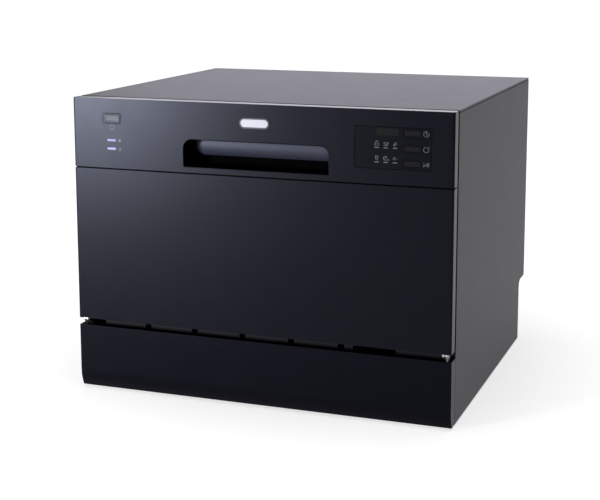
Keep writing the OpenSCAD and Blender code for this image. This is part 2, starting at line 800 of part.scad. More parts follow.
// Arm inside the door at each side: ear on the hinge pin, plate on the liner, tail for the spring
module hinge_arms() color("#7d7f84") both_sides() difference() {
    sideways(hinge_arm_x, hinge_arm_x + hinge_t) {
        translate([hinge_y, hinge_z]) circle(hinge_ear_r);
        translate([hinge_y - 3, hinge_z]) square([7, liner_low_z - hinge_z + 10]);
        translate([hinge_y - 3, liner_low_z + 4])
            square([door_back_y - hinge_y + 3, 60]);
        polygon([[hinge_y - 1, hinge_z - 3.6], [hinge_y + 1.5, hinge_z + 3.4],
            [spring_y + 1.5, spring_z + 4], [spring_y - 1.5, spring_z - 4]]);
        translate([spring_y, spring_z]) circle(4.4);
    }
    rod_x(hinge_arm_x - 5, hinge_arm_x + hinge_t + 5, hinge_y, hinge_z, hinge_pin_r + run_fit);
    rod_x(hinge_arm_x - 5, hinge_arm_x + hinge_t + 5, spring_y, spring_z, 1.6);
}

// Balance spring at each side, from the tail of the hinge arm to a lug on the base
module door_springs() color("#b9bbc0") both_sides() {
    run = [spring_anchor_y - spring_y, spring_anchor_z - spring_z];
    length = norm(run);
    for (at = [[spring_y, spring_z], [spring_anchor_y, spring_anchor_z]])
        rod_x(hinge_arm_x - 1, hinge_arm_x + hinge_t + 3, at[0], at[1], 1.2);
    translate([0, spring_y, spring_z]) rotate([atan2(run[1], run[0]), 0, 0]) {
        rod_y(0, length, hinge_arm_x + hinge_t + 1.8, 0, 1.2);
        rod_y(16, length - 14, hinge_arm_x + hinge_t / 2, 0, 5);
    }
}

// Bosses for the screws through the liner, at each side of the door
module screw_bosses(heights) {
    both_sides() for (z = heights)
        difference() {
            rod_y(inner_face_y, door_back_y, boss_x, z, 4);
            rod_y(inner_face_y + 3, door_back_y + 1, boss_x, z, 1.55);
        }
}

// Shell of one door panel: front plate with its edges folded back, round at the outer corners
module door_shell(z0, z1) {
    difference() {
        union() {
            block(-half_w, half_w, face_y + edge_r, door_back_y, z0, z1);
            block(-half_w + edge_r, half_w - edge_r, face_y, face_y + edge_r, z0, z1);
            both_sides() rod_z(z0, z1, half_w - edge_r, face_y + edge_r, edge_r);
        }
        block(-half_w + return_t, half_w - return_t, inner_face_y, door_back_y + 1,
            z0 + return_t, z1 - return_t);
    }
}

module door_panel() color("#3a3c48") {
    difference() {
        door_shell(door_bottom_z, panel_top_z);
        both_sides()
            block(hinge_arm_x - 4, hinge_arm_x - 4 + hinge_notch_w, inner_face_y,
                door_back_y + 1, door_bottom_z - 1, door_bottom_z + return_t + 1);
    }
    screw_bosses(lower_boss_z);
}

// Outline of the handle recess in the face of the control panel
module recess_outline() {
    w = recess_open_w;
    h = recess_open_h;
    translate([-w / 2, pocket_z]) {
        translate([recess_low_r, 0]) square([w - 2 * recess_low_r, h / 2]);
        translate([0, recess_low_r]) square([w, h - recess_top_r - recess_low_r]);
        translate([recess_top_r, h / 2]) square([w - 2 * recess_top_r, h / 2]);
        for (x = [recess_low_r, w - recess_low_r]) translate([x, recess_low_r]) circle(recess_low_r);
        for (x = [recess_top_r, w - recess_top_r])
            translate([x, h - recess_top_r]) circle(recess_top_r);
    }
}

// Bar with round ends about the badge place, some way in from the badge's own edge
module badge_shape(inset) {
    translate([0, badge_z]) {
        square([badge_w - badge_h, badge_h - 2 * inset], center = true);
        for (side = [-1, 1])
            translate([side * (badge_w - badge_h) / 2, 0]) circle(badge_h / 2 - inset);
    }
}

// Rectangle about a middle point, with round corners
module pad(x, z, w, h, r) {
    translate([x - w / 2, z - h / 2]) round_rect(w, h, r);
}

module control_panel() color("#4b4e5c") {
    difference() {
        door_shell(control_z, top_z);
        facing(face_y - 1, inner_face_y + 1) {
            recess_outline();
            pad(power_x, power_z, power_w + 2 * button_clear, power_h + 2 * button_clear, 2);
            for (z = light_z) pad(light_x, z, light_w, light_h, 1.2);
            translate([window_x, window_z]) square([window_w, window_h]);
        }
        facing(face_y - 1, face_y + badge_seat) badge_shape(0);
    }
    screw_bosses(upper_boss_z);
}

module badge_plate() color("#e9eaee") {
    facing(front_y, face_y + badge_seat) difference() {
        badge_shape(0);
        badge_shape(badge_ring_w);
    }
    facing(front_y + 0.3, face_y + badge_seat) badge_shape(badge_ring_w);
}

module liner_outline(grow) {
    translate([-plug_x - grow, plug_low_z - grow])
        round_rect(2 * (plug_x + grow), plug_top_z - plug_low_z + 2 * grow,
            tub_r - plug_clear + grow);
}

module dispenser_cut() {
    translate([disp_x0 + 4, disp_z0 + 4]) square([disp_w - 8, disp_h - 8]);
}

module door_liner() color("#c9cbcf") difference() {
    union() {
        facing(door_back_y, liner_y) translate([-half_w + 0.5, liner_low_z])
            square([body_w - 1, top_z - 3 - liner_low_z]);
        facing(door_back_y, plug_y) liner_outline(0);
        // pressed ribs that the rack wheels run on when the door lies open
        both_sides() block(rail_in_x, plug_x - 2, plug_y - 0.5, plug_y + door_rail_h,
            plug_low_z + tub_r, plug_top_z - 40);
    }
    facing(door_back_y - 1, plug_y - liner_t) liner_outline(-liner_t);
    facing(plug_y - 5, plug_y + 5) dispenser_cut();
    facing(door_back_y - 1, liner_y + 1) latch_slot();
    both_sides() for (z = concat(lower_boss_z, upper_boss_z))
        rod_y(door_back_y - 1, liner_y + 1, boss_x, z, 1.55);
}

module liner_screws() color("#a5a7ab") both_sides() for (z = concat(lower_boss_z, upper_boss_z)) {
    rod_y(door_back_y - 8, liner_y, boss_x, z, 1.5);
    rod_y(liner_y, liner_y + 1.2, boss_x, z, 3);
}

module handle_pocket() color("#0c0c0e") difference() {
    union() {
        facing(inner_face_y, pocket_back_y + pocket_t)
            translate([-recess_open_w / 2 - pocket_t, pocket_z - pocket_t])
                square([recess_open_w + 2 * pocket_t, pocket_roof_z - pocket_z + 2 * pocket_t]);
        facing(inner_face_y, inner_face_y + 1.5)
            translate([-recess_open_w / 2 - 8, pocket_z - 4])
                square([recess_open_w + 16, pocket_roof_z - pocket_z + 8]);
        both_sides() rod_x(recess_open_w / 2, recess_open_w / 2 + 6, lever_y, lever_z, 5);
    }
    block(-recess_open_w / 2, recess_open_w / 2, inner_face_y - 1, pocket_back_y, pocket_z,
        pocket_roof_z);
    both_sides()
        rod_x(recess_open_w / 2 - 1, recess_open_w / 2 + 5, lever_y, lever_z,
            lever_pin_r + run_fit);
}

module handle_lever() color("#50545f") {
    bow_r = 38;
    intersection() {
        sideways(-lever_w / 2, lever_w / 2) translate([lever_y + bow_r - 3, lever_z - 16])
            difference() {
                circle(bow_r, $fn = 180);
                circle(bow_r - lever_t, $fn = 180);
            }
        facing(lever_y - 12, lever_y + 12)
            translate([-lever_w / 2, lever_z - lever_drop]) {
                round_rect(lever_w, lever_drop, 12);
                translate([0, lever_drop / 2]) square([lever_w, lever_drop / 2]);
            }
    }
    rod_x(-lever_w / 2, lever_w / 2, lever_y, lever_z, 4);
    rod_x(-recess_open_w / 2 - 4, recess_open_w / 2 + 4, lever_y, lever_z, lever_pin_r);
}

module latch_housing() color("#dedfe0") {
    difference() {
        block(-hook_w / 2 - 4.5, hook_w / 2 + 4.5, inner_face_y, door_back_y,
            hook_pivot_z - 7.5, latch_slot_z + latch_slot_h + 3.5);
        block(-hook_w / 2 - 2.5, hook_w / 2 + 2.5, inner_face_y + 1.5, door_back_y + 1,
            hook_pivot_z - 5.8, latch_slot_z + latch_slot_h + 2);
    }
    rod_x(-hook_w / 2 - 4.5, hook_w / 2 + 4.5, hook_pivot_y, hook_pivot_z, hook_pin_r);
}

module latch_hook() color("#c8c9cc") difference() {
    sideways(-hook_w / 2, hook_w / 2) {
        nose_y = tub_y + strike_t + 0.4;
        translate([hook_pivot_y, hook_pivot_z]) circle(4.4);
        translate([hook_pivot_y - 3, hook_pivot_z])
            square([6, hook_arm_z + hook_arm_h - hook_pivot_z]);
        translate([hook_pivot_y - 3, hook_arm_z])
            square([nose_y + 3.8 - hook_pivot_y + 3, hook_arm_h]);
        translate([nose_y, hook_arm_z])
            square([3.8, latch_slot_z + latch_slot_h + 2.1 - hook_arm_z]);
    }
    rod_x(-hook_w, hook_w, hook_pivot_y, hook_pivot_z, hook_pin_r + run_fit);
}

module control_window() color("#15161b") difference() {
    union() {
        facing(window_y, inner_face_y) translate([window_x + 0.3, window_z + 0.3])
            square([window_w - 0.6, window_h - 0.6]);
        facing(inner_face_y, inner_face_y + 1.5) translate([window_x - 2.5, window_z - 2.5])
            square([window_w + 5, window_h + 5]);
    }
    facing(face_y - 1, inner_face_y + 2) {
        for (z = slot_button_z)
            pad(slot_button_x, z, slot_button_w + 2 * button_clear,
                slot_button_h + 2 * button_clear, 2.2);
        pad(display_x, display_z, display_w, display_h, 0.6);
        window_lights();
    }
}

// Small bars under the programme symbols
module window_lights() {
    for (x = [30.9, 42.9, 55.4], z = [28.2, 9.1])
        pad(window_x + x, window_z + z, 6, 1.2, 0.4);
}

module display_lens() color("#1f2328") facing(window_y, inner_face_y + 1.5)
    pad(display_x, display_z, display_w, display_h, 0.6);

module indicator_lights() color("#c9cdf0") {
    facing(face_y, inner_face_y + 2) for (z = light_z) pad(light_x, z, light_w, light_h, 1.2);
    facing(window_y, inner_face_y + 1.5) window_lights();
}

// Button cap with the collar that keeps it behind its opening
module button(x, z, w, h, r, y0, collar_y) {
    facing(y0, button_back_y) pad(x, z, w, h, r);
    facing(collar_y, collar_y + 1.2) pad(x, z, w + 3, h + 3, r + 1);
}

module power_button() color("#9a9ca5") difference() {
    button(power_x, power_z, power_w, power_h, 1.6, front_y, inner_face_y + 0.3);
    // the face is sunk inside a raised rim
    facing(front_y - 1, front_y + 0.6) pad(power_x, power_z, power_w - 3, power_h - 3, 0.8);
}

module slot_button(i) {
    button(slot_button_x, slot_button_z[i], slot_button_w, slot_button_h, 1.8, face_y + 0.5,
        inner_face_y + 1.8);
}

module delay_button() color("#33363f") slot_button(0);

module program_button() color("#33363f") slot_button(1);

module start_button() color("#33363f") slot_button(2);

// Board on four pillars behind an area of the control panel, with its switches
module board(x0, x1, z0, z1) {
    facing(board_y, board_y + 1.6) translate([x0, z0]) square([x1 - x0, z1 - z0]);
    for (x = [x0 + 2, x1 - 2], z = [z0 + 3, z1 - 3])
        rod_y(inner_face_y, board_y, x, z, 1.6);
}

module control_board() color("#2f6b46") {
    switch_y = button_back_y + button_travel + 0.3;
    board(window_x - 7, window_x + window_w + 7, window_z + 1, window_z + window_h - 1);
    for (z = slot_button_z) rod_y(switch_y, board_y, slot_button_x, z, 2.5);
    board(power_x - power_w / 2 - 6, power_x + power_w / 2 + 6, power_z - 14, power_z + 10);
    rod_y(switch_y, board_y, power_x, power_z, 2.5);
}

module detergent_dispenser() color("#b9bbbf") {
    z0 = disp_z0;
    z1 = disp_z0 + disp_h;
    difference() {
        union() {
            block(disp_x0, disp_x0 + disp_w, plug_y, disp_y, z0, z1);
            facing(plug_y - 7, plug_y) dispenser_cut();
            block(cup_x0 - 2, cup_x0 + cup_w + 2, plug_y - cup_d - 2, plug_y, z0 + 6, z1 - 6);
            // guides above and below the lid
            for (z = [z0 + 1, z1 - 4.4])
                block(cup_x0 - 5, disp_x0 + disp_w, disp_y, disp_y + lid_t + 0.9, z, z + 3.4);
        }
        block(cup_x0, cup_x0 + cup_w, plug_y - cup_d, disp_y + 5, z0 + 8, z1 - 8);
        rod_y(disp_y - 5, disp_y + 5, cap_x, (z0 + z1) / 2, 8 + run_fit);
    }
}

module detergent_lid() color("#d5d6d9") {
    y0 = disp_y + 0.3;
    block(cup_x0 - 3, cup_x0 + cup_w + 3, y0, y0 + lid_t, disp_z0 + 5, disp_z0 + disp_h - 5);
    // thumb rib
    block(cup_x0 + 2, cup_x0 + 5, y0, y0 + lid_t + 1.6, disp_z0 + 22, disp_z0 + disp_h - 22);
}

module rinse_aid_cap() color("#3b3d44") {
    z = disp_z0 + disp_h / 2;
    rod_y(disp_y - 4.5, disp_y + 1, cap_x, z, 8);
    rod_y(disp_y + 0.3, disp_y + 2.4, cap_x, z, cap_r);
    block(cap_x - cap_r + 3, cap_x + cap_r - 3, disp_y + 2, disp_y + 4.4, z - 1.5, z + 1.5);
}

// Places of the upright wires along the front and along the sides
rack_xs = [-rack_x + rack_mesh / 2 + 9:rack_mesh:rack_x - 12];
rack_ys = [rack_front_y + rack_mesh / 2 + 1:rack_mesh:rack_rear_y - 12];

module rack() color("#8d9097") {
    x1 = rack_x - rim_r;
    y0 = rack_front_y + rim_r;
    y1 = rack_rear_y - rim_r;
    foot_z = rack_floor_z + rim_r + weld_gap;
    wall_z = [(rack_floor_z + rack_rim_z) / 2, rack_rim_z];
    // floor grid
    for (y = [y0, y1]) wire([-x1, y, rack_floor_z], [x1, y, rack_floor_z], rim_r);
    for (x = [-x1, x1]) wire([x, y0, rack_floor_z], [x, y1, rack_floor_z], rim_r);
    for (x = [-x1, x1], y = [y0, y1])
        wire([x, y, rack_floor_z - rim_r], [x, y, rack_floor_z + rim_r], rim_r);
    for (x = rack_xs) wire([x, y0, rack_floor_z], [x, y1, rack_floor_z], wire_r);
    for (y = rack_ys) wire([-x1, y, rack_floor_z], [x1, y, rack_floor_z], wire_r);
    // front and rear grids, each with its two corner posts
    for (y = [y0, y1]) {
        for (z = wall_z) wire([-x1, y, z], [x1, y, z], rim_r);
        for (x = rack_xs) wire([x, y, foot_z], [x, y, rack_rim_z], wire_r);
        for (x = [-x1, x1]) wire([x, y, foot_z], [x, y, rack_rim_z + rim_r], rim_r);
    }
    // side grids between the posts
    for (x = [-x1, x1]) {
        for (z = wall_z)
            wire([x, y0 + rim_r + weld_gap, z], [x, y1 - rim_r - weld_gap, z], rim_r);
        for (y = rack_ys) wire([x, y, foot_z], [x, y, rack_rim_z], wire_r);
    }
}

// Clipped-on wheel carriers with their axles, and the clips that the cup shelf turns in
module rack_fittings() color("#5d6068") {
    both_sides() for (y = wheel_y) {
        block(rack_x, rack_x + 2, y - 9, y + 9, wheel_z - 6, rack_floor_z + 8);
        rod_x(rack_x, wheel_x + wheel_w + 1.5, y, wheel_z, axle_r);
        rod_x(rack_x, wheel_x - 0.3, y, wheel_z, axle_r + 2);
        rod_x(wheel_x + wheel_w + 0.3, wheel_x + wheel_w + 1.5, y, wheel_z, axle_r + 1.4);
    }
    for (y = shelf_clip_y)
        difference() {
            block(-rack_x + 2 * rim_r, shelf_x + 4.5, y, y + 8, shelf_z - 5, shelf_z + 5);
            rod_y(y - 1, y + 9, shelf_x, shelf_z, shelf_rod_r + run_fit);
        }
}

module wheel(side, y) {
    x0 = side > 0 ? wheel_x : -wheel_x - wheel_w;
    difference() {
        rod_x(x0, x0 + wheel_w, y, wheel_z, wheel_r);
        rod_x(x0 - 1, x0 + wheel_w + 1, y, wheel_z, axle_r + run_fit);
        for (a = [0:60:300])
            translate([x0 - 1, y, wheel_z]) rotate([a, 0, 0]) translate([0, wheel_r * 0.62, 0])
                rotate([0, 90, 0]) cylinder(h = wheel_w + 2, r = 2, $fn = 24);
    }
}

module wheel_front_left() color("#6b6e76") wheel(-1, wheel_y[0]);

module wheel_front_right() color("#6b6e76") wheel(1, wheel_y[0]);

module wheel_rear_left() color("#6b6e76") wheel(-1, wheel_y[1]);

module wheel_rear_right() color("#6b6e76") wheel(1, wheel_y[1]);

module plate_tines() color("#8d9097") {
    z0 = rack_floor_z + wire_r;
    for (x = tine_x) {
        wire([x, rack_front_y + 30, z0 + wire_r], [x, rack_rear_y - 30, z0 + wire_r], wire_r);
        for (y = [rack_front_y + 36:26:rack_rear_y - 34])
            wire([x, y, z0 + wire_r], [x, y, z0 + tine_l], wire_r);
    }
}

module cup_shelf() color("#9aa0aa") {
    y0 = shelf_clip_y[0] - 6;
    y1 = shelf_clip_y[1] + 14;
    rod_y(y0, y1, shelf_x, shelf_z, shelf_rod_r);
    rod_y(y0, y1, shelf_x + shelf_w, shelf_z, shelf_rod_r);
    rod_y(y0, y1, shelf_x + shelf_w / 2, shelf_z, shelf_rod_r - 0.4);
    for (i = [0:7]) {
        y = y0 + 2 + i * (y1 - y0 - 4) / 7;
        if (abs(y - shelf_clip_y[0] - 4) > 6 && abs(y - shelf_clip_y[1] - 4) > 6)
            rod_x(shelf_x, shelf_x + shelf_w, y, shelf_z, shelf_rod_r - 0.4);
    }
}

module cutlery_basket() color("#a6abb5") {
    n = 4;
    step = (basket_l - basket_t) / n;
    difference() {
        block(basket_x, basket_x + basket_w, basket_y, basket_y + basket_l, basket_z,
            basket_z + basket_h);
        for (i = [0:n - 1])
            block(basket_x + basket_t, basket_x + basket_w - basket_t,
                basket_y + basket_t + i * step, basket_y + (i + 1) * step, basket_z + basket_t,
                basket_z + basket_h + 1);
    }
    // grip along the middle
    block(basket_x + basket_w / 2 - 2, basket_x + basket_w / 2 + 2, basket_y + basket_l / 2 - 26,
        basket_y + basket_l / 2 + 26, basket_z + basket_h - 12, basket_z + basket_h + 7);
}

top_cover();
side_panel_left();
side_panel_right();
rear_panel();
base_tray();
feet();
kick_panel();
case_screws();
tub();
mouth_frame();
door_seal();
rack_rails();
sump();
floor_filter();
spray_hub();
circulation_pump();
drain_pump();
heater();
softener_tank();
breather_chamber();
inlet_valve();
drain_spigot();
cord_gland();
internal_hoses();
hinge_brackets();
latch_strike();
door_springs();
door_panel();
control_panel();
door_liner();
hinge_arms();
handle_pocket();
control_window();
display_lens();
indicator_lights();
control_board();
badge_plate();
detergent_dispenser();
latch_housing();
liner_screws();
handle_lever();
latch_hook();
power_button();
delay_button();
program_button();
start_button();
detergent_lid();
rinse_aid_cap();
rack();
rack_fittings();
plate_tines();
cup_shelf();
cutlery_basket();
wheel_front_left();
wheel_front_right();
wheel_rear_left();
wheel_rear_right();
spray_arm();
micro_filter();
salt_cap();
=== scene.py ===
# Countertop dishwasher: the looks of every piece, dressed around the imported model.
# Metres. X runs to the right as seen from the front, Y to the rear, Z up; the table is z = 0.
from math import cos, hypot, pi, radians, sin
import bpy
from mathutils import Matrix, Vector


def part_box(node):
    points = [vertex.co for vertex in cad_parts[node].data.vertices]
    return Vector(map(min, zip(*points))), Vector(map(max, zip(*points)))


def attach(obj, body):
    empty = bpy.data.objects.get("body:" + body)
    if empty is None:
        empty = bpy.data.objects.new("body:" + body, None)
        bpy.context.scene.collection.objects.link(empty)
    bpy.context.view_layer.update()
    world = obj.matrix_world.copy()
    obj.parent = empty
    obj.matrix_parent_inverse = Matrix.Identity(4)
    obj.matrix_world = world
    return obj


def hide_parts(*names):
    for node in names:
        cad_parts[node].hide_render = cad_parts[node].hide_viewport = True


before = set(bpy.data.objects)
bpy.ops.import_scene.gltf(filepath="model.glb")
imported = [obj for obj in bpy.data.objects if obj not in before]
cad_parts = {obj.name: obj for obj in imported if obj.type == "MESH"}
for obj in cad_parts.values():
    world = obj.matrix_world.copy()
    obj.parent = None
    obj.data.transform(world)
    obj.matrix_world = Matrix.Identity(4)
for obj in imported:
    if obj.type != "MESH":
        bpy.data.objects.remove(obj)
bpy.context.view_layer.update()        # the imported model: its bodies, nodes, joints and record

mm = 0.001

# Camera. The photograph was taken from the right of the front, a little above the top cover,
# from two metres away. The aim, angles and distance come from the corners of the body.
azimuth = radians(20.18)
elevation = radians(9.27)
roll = radians(-0.1)
eye_distance = 2.03857
aim = Vector((-0.02635, 0.0, 0.29767))
image_width_px = 600
focal_px = 1331.82
centre_above_middle_px = 81

back = Vector((sin(azimuth) * cos(elevation), -cos(azimuth) * cos(elevation), sin(elevation)))
level_right = Vector((cos(azimuth), sin(azimuth), 0))
level_up = back.cross(level_right)
right = level_right * cos(roll) + level_up * sin(roll)
up = level_up * cos(roll) - level_right * sin(roll)
bpy.ops.object.camera_add(location=aim + back * eye_distance)
camera = bpy.context.object
camera.rotation_euler = Matrix((right, up, back)).transposed().to_euler()
camera.data.sensor_width = 36
camera.data.lens = focal_px / image_width_px * camera.data.sensor_width
camera.data.shift_y = -centre_above_middle_px / image_width_px
bpy.context.scene.camera = camera

# Studio. White paper, as a floor and a backdrop that glow enough to stay white away from the
# lamps, in a dim room. A soft lamp at the front left grades the door from its upper left
# corner, a large one lights the top, and a faint one behind gives the top its sheen.
bpy.context.scene.view_settings.view_transform = "Standard"
room_tone = (0.05, 0.05, 0.055)
paper_tone = (0.5, 0.5, 0.5)
paper_size = 16
backdrop_y = 5
world = bpy.data.worlds.new("room")
bpy.context.scene.world = world
world.use_nodes = True
world.node_tree.nodes["Background"].inputs["Color"].default_value = (*room_tone, 1)


def paper(name, glows):
    """White paper. Seen straight, mirrored or through glass it glows; glows gives the level of
    white at so many metres from the middle, as pairs of (metres, level)."""
    sheet = bpy.data.materials.new(name)
    sheet.use_nodes = True
    nodes = sheet.node_tree.nodes
    links = sheet.node_tree.links
    nodes.clear()
    place = nodes.new("ShaderNodeTexCoord")
    reach = nodes.new("ShaderNodeVectorMath")
    reach.operation = "LENGTH"
    links.new(place.outputs["Object"], reach.inputs[0])
    share = nodes.new("ShaderNodeMath")
    share.operation = "DIVIDE"
    links.new(reach.outputs["Value"], share.inputs[0])
    share.inputs[1].default_value = glows[-1][0]
    level = nodes.new("ShaderNodeValToRGB")
    stops = level.color_ramp.elements
    while len(stops) < len(glows):
        stops.new(0.5)
    for stop, (metres, glow) in zip(stops, glows):
        stop.position = metres / glows[-1][0]
        stop.color = (glow, glow, glow, 1)
    links.new(share.outputs[0], level.inputs["Fac"])
    path = nodes.new("ShaderNodeLightPath")
    seen = path.outputs["Is Camera Ray"]
    for ray in ("Is Glossy Ray", "Is Transmission Ray"):
        either = nodes.new("ShaderNodeMath")
        either.operation = "MAXIMUM"
        links.new(seen, either.inputs[0])
        links.new(path.outputs[ray], either.inputs[1])
        seen = either.outputs[0]
    strength = nodes.new("ShaderNodeMath")
    strength.operation = "MULTIPLY"
    links.new(level.outputs["Color"], strength.inputs[0])
    links.new(seen, strength.inputs[1])
    glow = nodes.new("ShaderNodeEmission")
    links.new(strength.outputs[0], glow.inputs["Strength"])
    matt = nodes.new("ShaderNodeBsdfDiffuse")
    matt.inputs["Color"].default_value = (*paper_tone, 1)
    both = nodes.new("ShaderNodeAddShader")
    links.new(matt.outputs[0], both.inputs[0])
    links.new(glow.outputs[0], both.inputs[1])
    out = nodes.new("ShaderNodeOutputMaterial")
    links.new(both.outputs[0], out.inputs["Surface"])
    return sheet


bpy.ops.mesh.primitive_plane_add(size=paper_size)
floor = bpy.context.object
floor.name = "floor"
floor.data.materials.append(paper("floor_paper", [(0.2, 0.62), (0.65, 0.82), (3, 1)]))
bpy.ops.mesh.primitive_plane_add(size=paper_size, location=(0, backdrop_y, 7.5),
                                 rotation=(pi / 2, 0, 0))
backdrop = bpy.context.object
backdrop.name = "backdrop"
backdrop.data.materials.append(paper("backdrop_paper", [(0, 1), (8, 1)]))


def soft_lamp(name, at, towards, width, height, watts, tint=(1, 1, 1)):
    """An even rectangle of light, turned to face a point."""
    bpy.ops.object.light_add(type="AREA", location=at)
    lamp = bpy.context.object
    lamp.name = name
    lamp.rotation_euler = (Vector(at) - Vector(towards)).to_track_quat("Z", "Y").to_euler()
    lamp.data.shape = "RECTANGLE"
    lamp.data.size = width
    lamp.data.size_y = height
    lamp.data.energy = watts
    lamp.data.color = tint


soft_lamp("front_left", (-1.25, -2.0, 0.3), (-0.2, -0.25, 0.35), 0.35, 0.35, 52, (0.9, 0.92, 1))
soft_lamp("overhead", (0.1, -0.2, 2.4), (0, 0, 0), 2.4, 2.4, 42)
soft_lamp("behind", (-0.5, 2.6, 1.0), (0, 0, 0.42), 2.4, 0.7, 10, (0.87, 0.83, 1))

# Casing. The cover, the two sides and the rear are folded sheet steel, powder coated black
# with a fine, slightly grainy satin that catches the light along the folds.
def surface(name, colour, rough, metal=0.0, mottle=0.12, mottle_size=0.03, grain_size=0.0004,
            grain_depth=0.00002, stretch=(1, 1, 1), reflect=0.5, tint=(1, 1, 1)):
    """A finish with a slow drift of tone and roughness and a fine grain, all on Object places."""
    finish = bpy.data.materials.new(name)
    finish.use_nodes = True
    nodes = finish.node_tree.nodes
    links = finish.node_tree.links
    shader = nodes["Principled BSDF"]
    shader.inputs["Metallic"].default_value = metal
    shader.inputs["Specular IOR Level"].default_value = reflect
    shader.inputs["Specular Tint"].default_value = (*tint, 1)
    place = nodes.new("ShaderNodeTexCoord")
    drift = nodes.new("ShaderNodeTexNoise")
    drift.inputs["Scale"].default_value = 1 / mottle_size
    drift.inputs["Detail"].default_value = 3
    links.new(place.outputs["Object"], drift.inputs["Vector"])
    tone = nodes.new("ShaderNodeValToRGB")
    tone.color_ramp.elements[0].position = 0.3
    tone.color_ramp.elements[1].position = 0.7
    dark = [c * (1 - mottle) for c in colour]
    light = [min(1, c * (1 + mottle)) for c in colour]
    tone.color_ramp.elements[0].color = (*dark, 1)
    tone.color_ramp.elements[1].color = (*light, 1)
    links.new(drift.outputs["Fac"], tone.inputs["Fac"])
    links.new(tone.outputs["Color"], shader.inputs["Base Color"])
    gloss = nodes.new("ShaderNodeMapRange")
    gloss.inputs["To Min"].default_value = rough * 0.94
    gloss.inputs["To Max"].default_value = min(1, rough * 1.06)
    links.new(drift.outputs["Fac"], gloss.inputs["Value"])
    links.new(gloss.outputs["Result"], shader.inputs["Roughness"])
    turn = nodes.new("ShaderNodeMapping")
    turn.inputs["Scale"].default_value = stretch
    links.new(place.outputs["Object"], turn.inputs["Vector"])
    grain = nodes.new("ShaderNodeTexNoise")
    grain.inputs["Scale"].default_value = 1 / grain_size
    grain.inputs["Detail"].default_value = 2
    links.new(turn.outputs["Vector"], grain.inputs["Vector"])
    bump = nodes.new("ShaderNodeBump")
    bump.inputs["Distance"].default_value = grain_depth
    bump.inputs["Strength"].default_value = 1
    links.new(grain.outputs["Fac"], bump.inputs["Height"])
    links.new(bump.outputs["Normal"], shader.inputs["Normal"])
    return finish


case_paint = surface("case_paint", (0.025, 0.0228, 0.037), 0.5, grain_size=0.0011,
                     grain_depth=0.00003, mottle=0.1, reflect=0.25, tint=(0.9, 0.88, 1))


def only(piece):
    """Leaves one piece selected and active."""
    bpy.ops.object.select_all(action="DESELECT")
    piece.select_set(True)
    bpy.context.view_layer.objects.active = piece


def from_node(node, name):
    """A copy of a CAD node as one clean skin, ready to be worked on."""
    only(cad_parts[node])
    bpy.ops.object.duplicate()
    piece = bpy.context.object
    piece.name = name
    piece.data.name = name
    for key in list(piece.keys()):
        del piece[key]
    piece.parent = None
    bpy.ops.object.mode_set(mode="EDIT")
    bpy.ops.mesh.select_all(action="SELECT")
    bpy.ops.mesh.remove_doubles(threshold=0.000002)
    bpy.ops.mesh.dissolve_limited(angle_limit=radians(0.6))
    bpy.ops.mesh.customdata_custom_splitnormals_clear()
    bpy.ops.object.mode_set(mode="OBJECT")
    return piece


def apply_modifiers(piece):
    """Makes a piece's modifiers part of its mesh, in their order."""
    only(piece)
    for step in list(piece.modifiers):
        bpy.ops.object.modifier_apply(modifier=step.name)


def done(piece, material, body, nodes=(), edge=0.3 * mm, segments=2, angle=35):
    """Breaks the sharp edges, gives the finish, and lets the piece ride on its body."""
    if edge:
        soften = piece.modifiers.new("edges", "BEVEL")
        soften.width = edge
        soften.segments = segments
        soften.limit_method = "ANGLE"
        soften.angle_limit = radians(angle)
    even = piece.modifiers.new("even", "WEIGHTED_NORMAL")
    even.keep_sharp = True
    only(piece)
    bpy.ops.object.shade_smooth_by_angle(angle=radians(angle))
    apply_modifiers(piece)
    piece.data.materials.clear()
    piece.data.materials.append(material)
    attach(piece, body)
    if nodes:
        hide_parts(*nodes)
    return piece


done(from_node("top_cover", "cover_shell"), case_paint, "cabinet", ["top_cover"],
     edge=0.9 * mm, segments=4)
for side in ("left", "right"):
    done(from_node("side_panel_" + side, "side_sheet_" + side), case_paint, "cabinet",
         ["side_panel_" + side], edge=0.35 * mm)
done(from_node("rear_panel", "rear_sheet"), case_paint, "cabinet", ["rear_panel"])

# Casing screws. Zinc-plated pan head screws with cross recesses hold the rear sheet to the
# flanges of the sides.
def block(name, low, high):
    """A box between two corners given in millimetres."""
    low = Vector(low) * mm
    high = Vector(high) * mm
    bpy.ops.mesh.primitive_cube_add(size=1, location=(low + high) / 2)
    piece = bpy.context.object
    piece.name = name
    piece.data.name = name
    piece.scale = high - low
    bpy.ops.object.transform_apply(location=True, rotation=True, scale=True)
    return piece


def joined(name, pieces):
    """Several pieces made one mesh."""
    only(pieces[0])
    for piece in pieces:
        piece.select_set(True)
    bpy.ops.object.join()
    piece = bpy.context.object
    piece.name = name
    piece.data.name = name
    return piece


def cut(piece, tool):
    """Takes the shape of a tool out of a piece."""
    step = piece.modifiers.new("cut", "BOOLEAN")
    step.operation = "DIFFERENCE"
    step.solver = "EXACT"
    step.object = tool
    apply_modifiers(piece)
    bpy.data.objects.remove(tool)
    return piece


